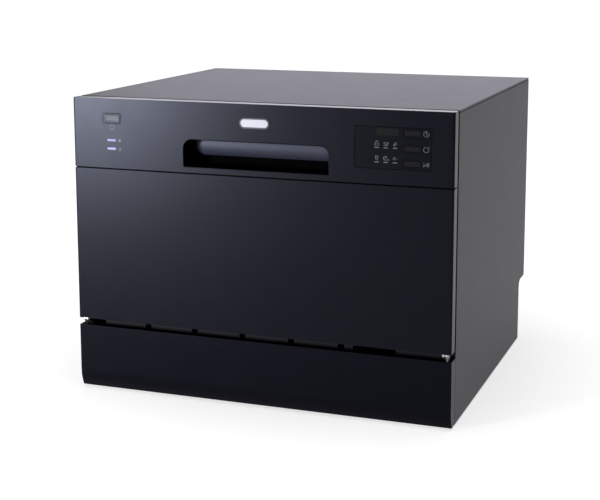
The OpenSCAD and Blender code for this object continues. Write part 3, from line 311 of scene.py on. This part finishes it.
def cross_slots(screws, face_y, slot=2.4, width=0.6, depth=0.7):
    """Cuts a cross recess into every screw head; the heads all end at the same face."""
    only(screws)
    bpy.ops.object.mode_set(mode="EDIT")
    bpy.ops.mesh.separate(type="LOOSE")
    bpy.ops.object.mode_set(mode="OBJECT")
    loose = list(bpy.context.selected_objects)
    level_bits, upright_bits = [], []
    for screw in loose:
        corners = [v.co / mm for v in screw.data.vertices]
        x = (min(c.x for c in corners) + max(c.x for c in corners)) / 2
        z = (min(c.z for c in corners) + max(c.z for c in corners)) / 2
        for w, h, bits in ((slot, width, level_bits), (width, slot, upright_bits)):
            bits.append(block("bit", (x - w / 2, face_y - depth, z - h / 2),
                              (x + w / 2, face_y + 1, z + h / 2)))
    screws = joined(screws.name, loose)
    cut(screws, joined("bits", level_bits))
    cut(screws, joined("bits", upright_bits))
    return screws


zinc = surface("zinc_steel", (0.5, 0.5, 0.48), 0.38, metal=1, mottle=0.15, mottle_size=0.006)
rear_screws = from_node("case_screws", "rear_screws")
rear_screws = cross_slots(rear_screws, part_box("case_screws")[1].y / mm)
done(rear_screws, zinc, "cabinet", ["case_screws"])

# Base tray. One black polypropylene moulding with a slotted front wall; it carries the tub on
# four posts and stands on rubber pads.
base_plastic = surface("base_plastic", (0.006, 0.006, 0.0075), 0.55, reflect=0.15)
done(from_node("base_tray", "base_moulding"), base_plastic, "cabinet", ["base_tray"])
rubber = surface("rubber", (0.014, 0.014, 0.015), 0.75, grain_depth=0.00006)
done(from_node("feet", "foot_pads"), rubber, "cabinet", ["feet"], edge=0.8 * mm,
     segments=3)

# Kick panel. A black moulded apron under the door, screwed to the front of the base tray; its
# lower edge curves in under the machine.
kick_plastic = surface("kick_plastic", (0.0014, 0.0014, 0.0028), 0.34, reflect=0.075,
                       tint=(0.7, 0.74, 1))
done(from_node("kick_panel", "kick_front"), kick_plastic, "cabinet", ["kick_panel"],
     edge=0.6 * mm, segments=3)

# Tub. Deep drawn stainless steel, brushed across, with ribs pressed into its walls and spot
# welded to the flat frame of the mouth. It carries the rails, the strike and the door seal.
def bent(points, bend, closed):
    """A path through points with its corners rounded."""
    corners = [Vector(p) for p in points]
    if closed:
        triples = zip([corners[-1]] + corners[:-1], corners, corners[1:] + corners[:1])
        path = []
    else:
        triples = zip(corners, corners[1:], corners[2:])
        path = [corners[0]]
    for before, corner, after in triples:
        come = before - corner
        leave = after - corner
        reach = min(bend, come.length / 2.01, leave.length / 2.01)
        start = corner + come.normalized() * reach
        end = corner + leave.normalized() * reach
        for i in range(6):
            t = i / 5
            path.append((1 - t) ** 2 * start + 2 * t * (1 - t) * corner + t * t * end)
    if not closed:
        path.append(corners[-1])
    return path


def wires(name, paths, radius, bend=6, closed=False, roundness=1):
    """Round wires, each bent through its points in millimetres, as one mesh."""
    curve = bpy.data.curves.new(name, "CURVE")
    curve.dimensions = "3D"
    curve.bevel_depth = radius * mm
    curve.bevel_resolution = roundness
    curve.use_fill_caps = True
    for points in paths:
        path = bent(points, bend, closed) if bend else [Vector(p) for p in points]
        spline = curve.splines.new("POLY")
        spline.points.add(len(path) - 1)
        for knot, place in zip(spline.points, path):
            knot.co = (*(place * mm), 1)
        spline.use_cyclic_u = closed
    piece = bpy.data.objects.new(name, curve)
    bpy.context.collection.objects.link(piece)
    only(piece)
    bpy.ops.object.convert(target="MESH")
    piece = bpy.context.object
    bpy.ops.object.mode_set(mode="EDIT")
    bpy.ops.mesh.select_all(action="SELECT")
    bpy.ops.mesh.normals_make_consistent(inside=False)
    bpy.ops.object.mode_set(mode="OBJECT")
    return piece


stainless = surface("stainless", (0.56, 0.56, 0.55), 0.3, metal=1, mottle=0.05,
                    mottle_size=0.12, grain_size=0.0005, stretch=(0.02, 1, 1))
done(from_node("tub", "tub_shell"), stainless, "cabinet", ["tub"], edge=0)


def flattened(piece, axis, level, share):
    """Presses a piece flat along axis 0, 1 or 2, towards a level in millimetres."""
    shares = [1, 1, 1]
    shares[axis] = share
    pivot = Vector((0, 0, 0))
    pivot[axis] = level * mm
    only(piece)
    bpy.ops.object.mode_set(mode="EDIT")
    bpy.ops.mesh.select_all(action="SELECT")
    bpy.ops.transform.resize(value=shares, center_override=pivot)
    bpy.ops.object.mode_set(mode="OBJECT")
    return piece


side_wall_x = 243
rear_wall_y = 192
rib_radius = 4
rib_flatness = 0.3
rib_top_z = 376
side_rib_low_z = 246
rear_rib_low_z = 176
ribs = []
for wall_x in (-side_wall_x, side_wall_x):
    pressed = wires("rib", [[(wall_x, y, side_rib_low_z), (wall_x, y, rib_top_z)]
                            for y in range(-170, 171, 68)], rib_radius, bend=0, roundness=3)
    ribs.append(flattened(pressed, 0, wall_x, rib_flatness))
pressed = wires("rib", [[(x, rear_wall_y, rear_rib_low_z), (x, rear_wall_y, rib_top_z)]
                        for x in range(-180, 181, 72)], rib_radius, bend=0, roundness=3)
ribs.append(flattened(pressed, 1, rear_wall_y, rib_flatness))
done(joined("tub_ribs", ribs), stainless, "cabinet", edge=0, angle=60)
done(from_node("mouth_frame", "mouth_ring"), stainless, "cabinet", ["mouth_frame"],
     edge=0.2 * mm)
done(from_node("rack_rails", "rails"), stainless, "cabinet", ["rack_rails"],
     edge=0.3 * mm)
done(from_node("latch_strike", "strike_plate"), zinc, "cabinet", ["latch_strike"],
     edge=0.2 * mm)
done(from_node("door_seal", "mouth_seal"), rubber, "cabinet", ["door_seal"],
     edge=1.2 * mm, segments=3)

# Water system. Moulded parts in the base: sump, pumps and hoses hang under the tub floor, and
# the spray hub, the filters and the neck of the salt tank come up through it.
grey_plastic = surface("grey_plastic", (0.1, 0.102, 0.11), 0.45)
white_plastic = surface("white_plastic", (0.72, 0.72, 0.7), 0.4, mottle=0.05)
heater_steel = surface("heater_steel", (0.5, 0.46, 0.4), 0.35, metal=1)
black_plastic = surface("black_plastic", (0.004, 0.004, 0.005), 0.6, reflect=0.1)
for node, name, finish, slot in (
        ("sump", "sump_cup", grey_plastic, "grey_plastic"),
        ("floor_filter", "filter_plate", stainless, "stainless"),
        ("spray_hub", "hub", grey_plastic, "grey_plastic"),
        ("circulation_pump", "wash_pump", grey_plastic, "grey_plastic"),
        ("drain_pump", "waste_pump", grey_plastic, "grey_plastic"),
        ("heater", "flow_heater", heater_steel, "heater_steel"),
        ("softener_tank", "salt_tank", white_plastic, "white_plastic"),
        ("breather_chamber", "air_break", white_plastic, "white_plastic"),
        ("cord_gland", "gland", black_plastic, "black_plastic"),
        ("internal_hoses", "hoses", rubber, "rubber")):
    done(from_node(node, name), finish, "cabinet", [node])
done(from_node("spray_arm", "arm"), stainless, "spray_arm", ["spray_arm"],
     edge=1.2 * mm, segments=4)
done(from_node("micro_filter", "filter_cup"), grey_plastic, "micro_filter",
     ["micro_filter"])
done(from_node("salt_cap", "tank_cap"), grey_plastic, "salt_cap", ["salt_cap"])

# Connectors. The inlet ends in a moulded thread for the supply hose, the drain in a ribbed
# spigot; both stand out of the recess at the rear.
def circle(x, y, z, radius, steps=36):
    """Points round an axis that runs from front to rear."""
    return [(x + radius * cos(2 * pi * i / steps), y, z + radius * sin(2 * pi * i / steps))
            for i in range(steps)]


def pick(piece, wanted):
    """Opens a piece for editing, with the corners selected that a test of their place wants."""
    only(piece)
    bpy.ops.object.mode_set(mode="EDIT")
    bpy.ops.mesh.select_mode(type="VERT")
    bpy.ops.mesh.select_all(action="DESELECT")
    bpy.ops.object.mode_set(mode="OBJECT")
    for corner in piece.data.vertices:
        corner.select = wanted(corner.co / mm)
    bpy.ops.object.mode_set(mode="EDIT")


connector_z = 60
recess_face_y = 209
inlet_x, inlet_radius = 188, 13.2
drain_x, drain_radius = 140, 10
for node, name, finish, slot, x, radius, share in (
        ("inlet_valve", "valve", white_plastic, "white_plastic", inlet_x, inlet_radius, 0.93),
        ("drain_spigot", "spigot", black_plastic, "black_plastic", drain_x, drain_radius, 0.92)):
    # The tube is turned down to the root of its ridges, which then stand at its full size.
    body = from_node(node, name)
    pick(body, lambda place: (place.y > recess_face_y + 1.2 and
                              abs(hypot(place.x - x, place.z - connector_z) - radius) < 0.2))
    bpy.ops.transform.resize(value=(share, 1, share),
                             center_override=(x * mm, 0, connector_z * mm))
    bpy.ops.object.mode_set(mode="OBJECT")
    end_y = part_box(node)[1].y / mm
    if node == "inlet_valve":
        pitch = 1.814
        thread_start_y = recess_face_y + 2.6
        thread_radius = radius - 0.62
        steps = int((end_y - recess_face_y - 4) / pitch * 24)
        thread = [(x + thread_radius * cos(i * pi / 12), thread_start_y + pitch * i / 24,
                   connector_z + thread_radius * sin(i * pi / 12)) for i in range(steps + 1)]
        ridges = wires("ridges", [thread], 0.55, bend=0)
    else:
        ridges = wires("ridges", [circle(x, end_y - 3 - 6 * i, connector_z, radius - 0.85)
                                  for i in range(3)], 0.8, bend=0, closed=True)
    done(joined(name, [body, ridges]), finish, "cabinet", [node], angle=50,
         edge=0.15 * mm, segments=1)

# Hinges. Zinc-plated brackets on the base carry the pins that the arms in the door turn on,
# and a coil spring at each side balances the door.
done(from_node("hinge_brackets", "brackets"), zinc, "cabinet", ["hinge_brackets"])
spring_tail = Vector((0, -215.2, 90))
spring_anchor = Vector((0, -58.2, 60))
spring_axis = (spring_anchor - spring_tail).normalized()
spring_side = Vector((1, 0, 0)).cross(spring_axis)
spring_x = 263.5
spring_pitch = 2.6
coil_radius = 4
coils = []
for side in (-1, 1):
    middle = Vector((side * spring_x, 0, 0))
    first = spring_tail + middle + spring_axis * 16
    last = spring_anchor + middle - spring_axis * 14
    turns = round((last - first).length / spring_pitch)
    coil = []
    for i in range(turns * 12 + 1):
        angle = i * pi / 6
        along = first.lerp(last, i / (turns * 12))
        outwards = Vector((1, 0, 0)) * cos(angle) + spring_side * sin(angle)
        coil.append(along + outwards * coil_radius)
    coils.append([spring_tail + middle, spring_tail + middle + spring_axis * 10, *coil,
                  spring_anchor + middle - spring_axis * 8, spring_anchor + middle])
spring_wire = wires("spring_wire", coils, 1, bend=0)
spring_pins = wires("spring_pins", [((side * 261, *end.yz), (side * 268, *end.yz))
                                    for side in (-1, 1) for end in (spring_tail, spring_anchor)],
                    1.2, bend=0, roundness=2)
done(joined("springs", [spring_wire, spring_pins]), zinc, "cabinet", ["door_springs"],
     edge=0, angle=50)
done(from_node("hinge_arms", "arms"), zinc, "door", ["hinge_arms"])

# Door front. Two mouldings lacquered black with a cold sheen, the door panel and the control
# fascia above it, on the steel liner. A rolled lip runs round the handle recess.
door_paint = surface("door_paint", (0.0012, 0.0012, 0.0034), 0.3, grain_size=0.0009,
                     grain_depth=0.000012, mottle=0.08, reflect=0.105, tint=(0.8, 0.84, 1))
done(from_node("door_panel", "door_front"), door_paint, "door", ["door_panel"],
     edge=0.6 * mm, segments=3)
done(from_node("control_panel", "control_fascia"), door_paint, "door", ["control_panel"],
     edge=0.6 * mm, segments=3)
face_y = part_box("door_panel")[0].y / mm
recess_x = 105.8
recess_low_z = 334.6
recess_top_z = 373.5
recess_round = 13
lip_radius = 0.85
outline = [(recess_x, recess_low_z), (-recess_x, recess_low_z)]
for side, turns in ((-1, range(9)), (1, range(8, -1, -1))):
    for i in turns:
        angle = i * pi / 16
        outline.append((side * (recess_x - recess_round + recess_round * cos(angle)),
                        recess_top_z - recess_round + recess_round * sin(angle)))
lip = wires("recess_lip", [[(x, face_y + lip_radius - 0.15, z) for x, z in outline]],
            lip_radius, bend=0, closed=True, roundness=3)
done(lip, door_paint, "door", edge=0, angle=60)

# Seam strip. A near-black strip set behind the seam between the two mouldings: painted shade,
# so that the seam shows as a dark line.
seam_shade_black = surface("seam_shade_black", (0.0006, 0.0006, 0.0008), 0.9, reflect=0.02)
seam_low_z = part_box("door_panel")[1].z / mm
seam_high_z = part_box("control_panel")[0].z / mm
strip_end_x = 272
strip = block("seam_strip", (-strip_end_x, face_y + 0.9, seam_low_z - 0.1),
              (strip_end_x, face_y + 2.6, seam_high_z + 0.1))
done(strip, seam_shade_black, "door", edge=0.2 * mm)

# Badge. A blank plate of white enamel in a silvered ring, both bars with round ends, pressed
# into their seat above the handle.
def round_bar(name, centre, width, height, front, rear, radius=None, segments=12):
    """A bar lying on the door with its four corners rounded."""
    x, z = centre
    bar = block(name, (x - width / 2, front, z - height / 2),
                (x + width / 2, rear, z + height / 2))
    if radius is None:
        radius = height / 2 - 0.01
    bpy.ops.object.mode_set(mode="EDIT")
    bpy.ops.mesh.select_mode(type="EDGE")
    bpy.ops.mesh.select_all(action="DESELECT")
    bpy.ops.object.mode_set(mode="OBJECT")
    for side in bar.data.edges:
        a, b = (bar.data.vertices[i].co for i in side.vertices)
        side.select = abs(a.y - b.y) > 0.00001
    bpy.ops.object.mode_set(mode="EDIT")
    bpy.ops.mesh.bevel(offset=radius * mm, segments=segments)
    bpy.ops.object.mode_set(mode="OBJECT")
    return bar


def ring_bar(name, centre, width, height, wall, front, rear, radius=None):
    """A round-cornered frame lying on the door."""
    outer = round_bar(name, centre, width, height, front, rear, radius)
    inner_radius = None if radius is None else max(0.2, radius - wall)
    hole = round_bar("hole", centre, width - 2 * wall, height - 2 * wall, front - 1, rear + 1,
                     inner_radius)
    return cut(outer, hole)


badge_low, badge_high = (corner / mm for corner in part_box("badge_plate"))
badge_centre = ((badge_low.x + badge_high.x) / 2, (badge_low.z + badge_high.z) / 2)
badge_w = badge_high.x - badge_low.x
badge_h = badge_high.z - badge_low.z
badge_ring = 1.9
silver = surface("badge_silver", (0.055, 0.055, 0.062), 0.5, metal=0.55)
enamel = surface("badge_enamel", (0.66, 0.66, 0.7), 0.5, mottle=0.02, reflect=0.2)
ring = ring_bar("badge_ring", badge_centre, badge_w, badge_h, badge_ring, badge_low.y,
                badge_high.y)
done(ring, silver, "door", ["badge_plate"], edge=0.35 * mm, segments=3)
plate = round_bar("badge_face", badge_centre, badge_w - 2 * badge_ring - 0.1,
                  badge_h - 2 * badge_ring - 0.1, badge_low.y + 0.25, badge_high.y)
done(plate, enamel, "door", ["badge_plate"], edge=0.4 * mm, segments=3)

# Handle. A black moulded pocket behind the recess, coloured darker than the other black
# mouldings as painted shade inside the recess, with a satin moulded lever hinged under its
# roof. Pulling the lever forward frees the latch.
pocket_shade_black = surface("pocket_shade_black", (0.0006, 0.0006, 0.0009), 0.8, reflect=0.02)
done(from_node("handle_pocket", "pocket"), pocket_shade_black, "door", ["handle_pocket"])
lever_satin = surface("lever_plastic", (0.02, 0.021, 0.033), 0.42, reflect=0.26,
                      tint=(0.8, 0.84, 1))
lever = from_node("handle_lever", "lever")
lever_corner_x = 83.5
lever_end_x = 96
# The rounded right end is made shorter and moved out to the edge of the recess.
pick(lever, lambda place: lever_corner_x - 0.1 < place.x < lever_end_x)
bpy.ops.transform.resize(value=(0.8, 1, 1), center_override=(lever_corner_x * mm, 0, 0))
bpy.ops.transform.translate(value=(11 * mm, 0, 0))
bpy.ops.object.mode_set(mode="OBJECT")
done(lever, lever_satin, "handle_lever", ["handle_lever"], edge=0.8 * mm,
     segments=3)

# Controls. Moulded caps and clear lenses over the circuit board: a silver power button, two
# light bars, and a dark window with the display, six small lights and three slot buttons.
# The two light bars are painted as lit: their pale lavender is the painted glow of their lamps.
power_silver = surface("power_silver", (0.085, 0.085, 0.095), 0.5, metal=0.2, reflect=0.2)
button_dark = surface("button_dark", (0.0022, 0.0022, 0.0025), 0.42, reflect=0.09)
window_gloss = surface("window_gloss", (0.0012, 0.0013, 0.0026), 0.28, reflect=0.09,
                       tint=(0.8, 0.84, 1))
display_gloss = surface("display_gloss", (0.005, 0.0055, 0.006), 0.3, reflect=0.09)
# Pale lavender: the painted glow of the two lit bars.
light_plastic = surface("light_plastic", (0.42, 0.44, 0.68), 0.6, reflect=0.12)
dim_plastic = surface("dim_plastic", (0.12, 0.12, 0.135), 0.4)
board_green = surface("board", (0.02, 0.1, 0.05), 0.45)
done(from_node("control_window", "window"), window_gloss, "door", ["control_window"])
done(from_node("display_lens", "display"), display_gloss, "door", ["display_lens"])
bright_bars = from_node("indicator_lights", "light_bars")
dim_bars = from_node("indicator_lights", "programme_bars")
for bars, finish, away_x in ((bright_bars, light_plastic, 1), (dim_bars, dim_plastic, -1)):
    pick(bars, lambda place: place.x * away_x > 0)
    bpy.ops.mesh.delete(type="VERT")
    bpy.ops.object.mode_set(mode="OBJECT")
    done(bars, finish, "door", ["indicator_lights"], edge=0.2 * mm)
done(from_node("control_board", "circuit_board"), board_green, "door", ["control_board"],
     edge=0.1 * mm)
done(from_node("power_button", "power_key"), power_silver, "power_button",
     ["power_button"])
for key in ("delay", "program", "start"):
    done(from_node(key + "_button", key + "_key"), button_dark, key + "_button",
         [key + "_button"], edge=1.7 * mm, segments=5)

# Gap shade. Thin near-black frames round the window and round every button: painted shade,
# so that the gaps round them show as dark lines.
gap_shade = surface("gap_shade_black", (0.0008, 0.0008, 0.001), 0.6, reflect=0.03)
window_low, window_high = (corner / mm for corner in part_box("control_window"))
window_w = 104.9
window_h = 56
window_centre = ((window_low.x + window_high.x) / 2, (window_low.z + window_high.z) / 2)
button_gap = 0.45
frames = [ring_bar("gap_shade_frames", window_centre, window_w, window_h, 0.9, face_y - 0.03,
                   face_y + 0.4, 1)]
for node, wall in (("power_button", 0.8), ("delay_button", 0.5), ("program_button", 0.5),
                   ("start_button", 0.5)):
    low, high = (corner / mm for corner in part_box(node))
    frames.append(ring_bar("frame", ((low.x + high.x) / 2, (low.z + high.z) / 2),
                           high.x - low.x + 2 * (button_gap + wall),
                           high.z - low.z + 2 * (button_gap + wall),
                           wall, face_y - 0.05, face_y + 0.5, 2.6))
done(joined("gap_shade_frames", frames), gap_shade, "door", edge=0)

# Printed marks. Thin strokes of grey ink, printed on the fascia and the window: a power sign,
# two lamp signs, the delay, programme and start signs, and a picture over each small light.
ink = surface("ink", (0.28, 0.29, 0.34), 0.5, reflect=0.2)
stroke_radius = 0.2
stroke_flatness = 0.25
ink_y = face_y - 0.02


def arc(x, z, radius, start, end, steps=14):
    """Points of an arc, from one angle to another in degrees."""
    return [(x + radius * cos(radians(start + (end - start) * i / steps)),
             z + radius * sin(radians(start + (end - start) * i / steps)))
            for i in range(steps + 1)]


def drop(size):
    """A water drop, point upwards."""
    point = [(0, size * 1.6)]
    return point + arc(0, 0, size * 0.8, 20, -200) + point


def placed(x, z, *strokes):
    """A sign's strokes, drawn about its middle, moved to its place on the door."""
    return [[(x + across, z + above) for across, above in stroke] for stroke in strokes]


power_x = -214.3
lamp_x = -202.5
sign_x = 237.4
pot = [(-2.6, -1.4), (2.6, -1.4), (2.6, 1.4), (-2.6, 1.4), (-2.6, -1.4)]
cup = arc(0, 0, 2.3, 180, 360) + [(-2.3, 0)]
glass = [(-1.9, 2.6), (-1.2, -2.6), (1.2, -2.6), (1.9, 2.6), (-1.9, 2.6)]
signs = [
    # power: a ring with a bar in its gap
    *placed(power_x, 385.2, arc(0, 0, 3.3, 125, 415, 24), [(0, 0.8), (0, 4.4)]),
    # rinse aid: a star; salt: a drop
    *placed(lamp_x, 366.5, [(-2.5, 0), (2.5, 0)], [(0, -2.5), (0, 2.5)],
            [(-1.7, -1.7), (1.7, 1.7)], [(-1.7, 1.7), (1.7, -1.7)]),
    *placed(lamp_x, 353.6, drop(2.2)),
    # delay: a clock with a gap, and its hands
    *placed(sign_x, 395.2, arc(0, 0, 3.6, 60, 390, 24), [(0, 2.6), (0, 0), (2, -1.2)]),
    # programme: a turning arrow
    *placed(sign_x, 375, arc(0, 0, 3.5, 110, 400, 24), [(4.6, 4.2), (2.7, 2.1), (-0.1, 3.3)]),
    # start and pause: a triangle and two bars
    *placed(sign_x, 355.6, [(-3.4, -2.8), (-3.4, 2.8), (0.5, 0), (-3.4, -2.8)],
            [(1.8, -2.8), (1.8, 2.8)], [(3.6, -2.8), (3.6, 2.8)]),
    # pot with its lid
    *placed(171.5, 379.4, pot, arc(0, 1.8, 2.4, 15, 165), [(-3.3, 0.2), (-3.9, 0.2)],
            [(3.3, 0.2), (3.9, 0.2)], [(0, 4.2), (0, 4.8)]),
    # cup on a plate
    *placed(183.5, 381.8, cup, arc(2.7, -0.6, 0.9, 110, -110), [(-3.3, -3.6), (3.3, -3.6)]),
    # leaf
    *placed(196, 380, arc(2.5, -1.7, 4.6, 95, 175), arc(-2.1, 2.8, 4.6, 275, 355),
            [(-2.1, -1.6), (1.4, 1.8)]),
    # glass
    *placed(171.5, 361.6, glass, [(-1.5, 0.4), (1.5, 0.4)]),
    # quick: a clock and two arrow heads
    *placed(183, 361.6, arc(0, 0, 2.5, 20, 300, 22), [(0, 1.6), (0, 0), (1.4, 0)],
            [(2.2, -1.2), (3.5, -2), (2.2, -2.8)], [(3.7, -1.2), (5, -2), (3.7, -2.8)]),
    # rinse: a drop and its spray
    *placed(195, 361.1, drop(1.6), [(2.6, 1.5), (2.6, 0.7)], [(2.6, -0.5), (2.6, -1.3)],
            [(4, 0.5), (4, -0.3)])]
marks = wires("printed_marks", [[(x, ink_y, z) for x, z in stroke] for stroke in signs],
              stroke_radius, bend=0)
flattened(marks, 1, ink_y, stroke_flatness)
done(marks, ink, "door", edge=0, angle=60)

# Door liner. Deep drawn stainless steel screwed to the front; it plugs into the mouth of the
# tub and carries the latch and the dispenser.
done(from_node("door_liner", "liner"), stainless, "door", ["door_liner"],
     edge=0.5 * mm)
plug_y = -208
swage_x = 212
swage_low_z = 152
swage_top_z = 380
swage = wires("liner_swage", [[(-swage_x, plug_y, swage_low_z), (swage_x, plug_y, swage_low_z),
                               (swage_x, plug_y, swage_top_z), (-swage_x, plug_y, swage_top_z)]],
              3.2, bend=16, closed=True, roundness=3)
flattened(swage, 1, plug_y, rib_flatness)
done(swage, stainless, "door", edge=0, angle=60)
door_screws = from_node("liner_screws", "door_screws")
door_screws = cross_slots(door_screws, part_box("liner_screws")[1].y / mm, slot=3.2, width=0.8)
done(door_screws, zinc, "door", ["liner_screws"])
done(from_node("latch_housing", "latch_box"), black_plastic, "door", ["latch_housing"])
hook_metal = surface("hook_metal", (0.42, 0.42, 0.43), 0.35, metal=1)
done(from_node("latch_hook", "hook"), hook_metal, "latch_hook", ["latch_hook"])
done(from_node("detergent_dispenser", "dispenser"), grey_plastic, "door",
     ["detergent_dispenser"])
done(from_node("detergent_lid", "cup_lid"), grey_plastic, "detergent_lid",
     ["detergent_lid"])
done(from_node("rinse_aid_cap", "rinse_cap"), grey_plastic, "rinse_aid_cap",
     ["rinse_aid_cap"])

# Rack. Round wire bent into hoops and welded inside three rims, then dipped in grey nylon. It
# rolls out on the wheels in its carriers.
rack_coat = surface("rack_coat", (0.28, 0.29, 0.32), 0.35)
fitting_plastic = surface("fitting_plastic", (0.16, 0.165, 0.18), 0.45)
rack_low, rack_high = (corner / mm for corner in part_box("rack"))
rim_radius = 2.4
wire_radius = 1.7
rim_x = rack_high.x - rim_radius - 0.1
front_rim_y = rack_low.y + rim_radius + 0.1
rear_rim_y = rack_high.y - rim_radius - 0.1
low_rim_z = rack_low.z + rim_radius + 0.1
high_rim_z = rack_high.z - rim_radius - 0.1
rim_bend = 24
rims = wires("rims", [[(-rim_x, front_rim_y, z), (rim_x, front_rim_y, z), (rim_x, rear_rim_y, z),
                       (-rim_x, rear_rim_y, z)]
                      for z in (low_rim_z, (low_rim_z + high_rim_z) / 2, high_rim_z)],
             rim_radius, bend=rim_bend, closed=True)
hoop_in = rim_radius + wire_radius - 0.3
hoop_pitch = 40
hoops = []
for i in range(10):
    x = -190 + hoop_pitch * i
    hoops.append([(x, front_rim_y + hoop_in, high_rim_z + 1),
                  (x, front_rim_y + hoop_in, low_rim_z - 0.6),
                  (x, rear_rim_y - hoop_in, low_rim_z - 0.6),
                  (x, rear_rim_y - hoop_in, high_rim_z + 1)])
for i in range(8):
    y = -155 + hoop_pitch * i
    hoops.append([(-rim_x + hoop_in, y, high_rim_z + 1), (-rim_x + hoop_in, y, low_rim_z + 2),
                  (rim_x - hoop_in, y, low_rim_z + 2), (rim_x - hoop_in, y, high_rim_z + 1)])
hoop_wires = wires("hoops", hoops, wire_radius, bend=9)
done(joined("rack_wire", [rims, hoop_wires]), rack_coat, "rack_body", ["rack"],
     edge=0, angle=60)

# Plate tines. Two rows of narrow loops of wire that hold plates on edge, each row welded to
# one long wire on the floor of the rack and dipped with it.
tine_low, tine_high = (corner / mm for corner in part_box("plate_tines"))
tine_radius = 1.65
tine_width = 11
tine_pitch = 26
foot_z = tine_low.z + 1.8
tip_z = tine_high.z - 1.7
tines = []
for x in (tine_low.x + 1.8, tine_high.x - 1.8):
    tines.append([(x, tine_low.y + 1, foot_z), (x, tine_high.y - 1, foot_z)])
    y = tine_low.y + 9
    while y + tine_width + 1 < tine_high.y:
        tines.append([(x, y, foot_z), (x, y, tip_z), (x, y + tine_width, tip_z),
                      (x, y + tine_width, foot_z)])
        y += tine_pitch
done(wires("tine_wire", tines, tine_radius, bend=5.4), rack_coat, "rack_body", ["plate_tines"],
     edge=0, angle=60)

# Cup shelf. A welded wire frame with cross wires, dipped like the rack. It turns on its long
# wire, which snaps into two clips on the side of the rack.
shelf_low, shelf_high = (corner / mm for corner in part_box("cup_shelf"))
shelf_z = (shelf_low.z + shelf_high.z) / 2
hinge_x = shelf_low.x + 2
outer_x = shelf_high.x - 2
clips_y = (-116, 94)
clip_room = 7
frame_wire = wires("shelf_frame", [[(hinge_x, shelf_low.y + 2, shelf_z),
                                    (outer_x, shelf_low.y + 2, shelf_z),
                                    (outer_x, shelf_high.y - 2, shelf_z),
                                    (hinge_x, shelf_high.y - 2, shelf_z)]],
                   1.9, bend=12, closed=True)
hinge_wire = wires("shelf_hinge", [[(hinge_x, shelf_low.y + 8, shelf_z),
                                    (hinge_x, shelf_high.y - 8, shelf_z)]], 2, bend=0,
                   roundness=2)
cross = [[((hinge_x + outer_x) / 2, shelf_low.y + 2, shelf_z),
          ((hinge_x + outer_x) / 2, shelf_high.y - 2, shelf_z)]]
for i in range(1, 12):
    y = shelf_low.y + 2 + i * (shelf_high.y - shelf_low.y - 4) / 12
    if all(abs(y - clip_y) > clip_room for clip_y in clips_y):
        cross.append([(hinge_x, y, shelf_z), (outer_x, y, shelf_z)])
cross_wires = wires("shelf_cross", cross, 1.5, bend=0)
done(joined("shelf_wire", [frame_wire, hinge_wire, cross_wires]), rack_coat, "cup_shelf",
     ["cup_shelf"], edge=0, angle=60)

# Cutlery basket. One grey moulding with a grip and four cells, whose walls and floor are
# slotted for the water. It stands in the rack and lifts out.
basket = from_node("cutlery_basket", "basket")
basket_low, basket_high = (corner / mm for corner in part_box("cutlery_basket"))
basket_wall = 2
cell_pitch = (basket_high.y - basket_low.y - basket_wall) / 4
slot_h = 18
slot_rows_z = [basket_low.z + above for above in (10, 36, 62)]
slots = []
for cell in range(4):
    for column in range(3):
        y = basket_low.y + basket_wall + cell_pitch * cell + 4.5 + column * 11
        for z in slot_rows_z:
            slots.append(block("slot", (basket_low.x - 2, y, z),
                               (basket_high.x + 2, y + 6, z + slot_h)))
        for x in (basket_low.x + 7, basket_low.x + 23, basket_low.x + 39):
            slots.append(block("slot", (x, y, basket_low.z - 2),
                               (x + 10, y + 6, basket_low.z + 3)))
for column in range(4):
    x = basket_low.x + 6 + column * 12
    for z in slot_rows_z:
        for y in (basket_low.y - 1, basket_high.y - 3):
            slots.append(block("slot", (x, y, z), (x + 7, y + 4, z + slot_h)))
cut(basket, joined("slots", slots))
done(basket, fitting_plastic, "cutlery_basket", ["cutlery_basket"],
     edge=0.25 * mm)

# Wheel carriers and wheels. Moulded carriers snap onto the lower wires; each wheel turns on a
# headed axle.
done(from_node("rack_fittings", "rack_carriers"), fitting_plastic, "rack_body",
     ["rack_fittings"])
for corner in ("front_left", "front_right", "rear_left", "rear_right"):
    done(from_node("wheel_" + corner, "roller_" + corner), fitting_plastic,
         "wheel_" + corner, ["wheel_" + corner], edge=0.7 * mm, segments=3)
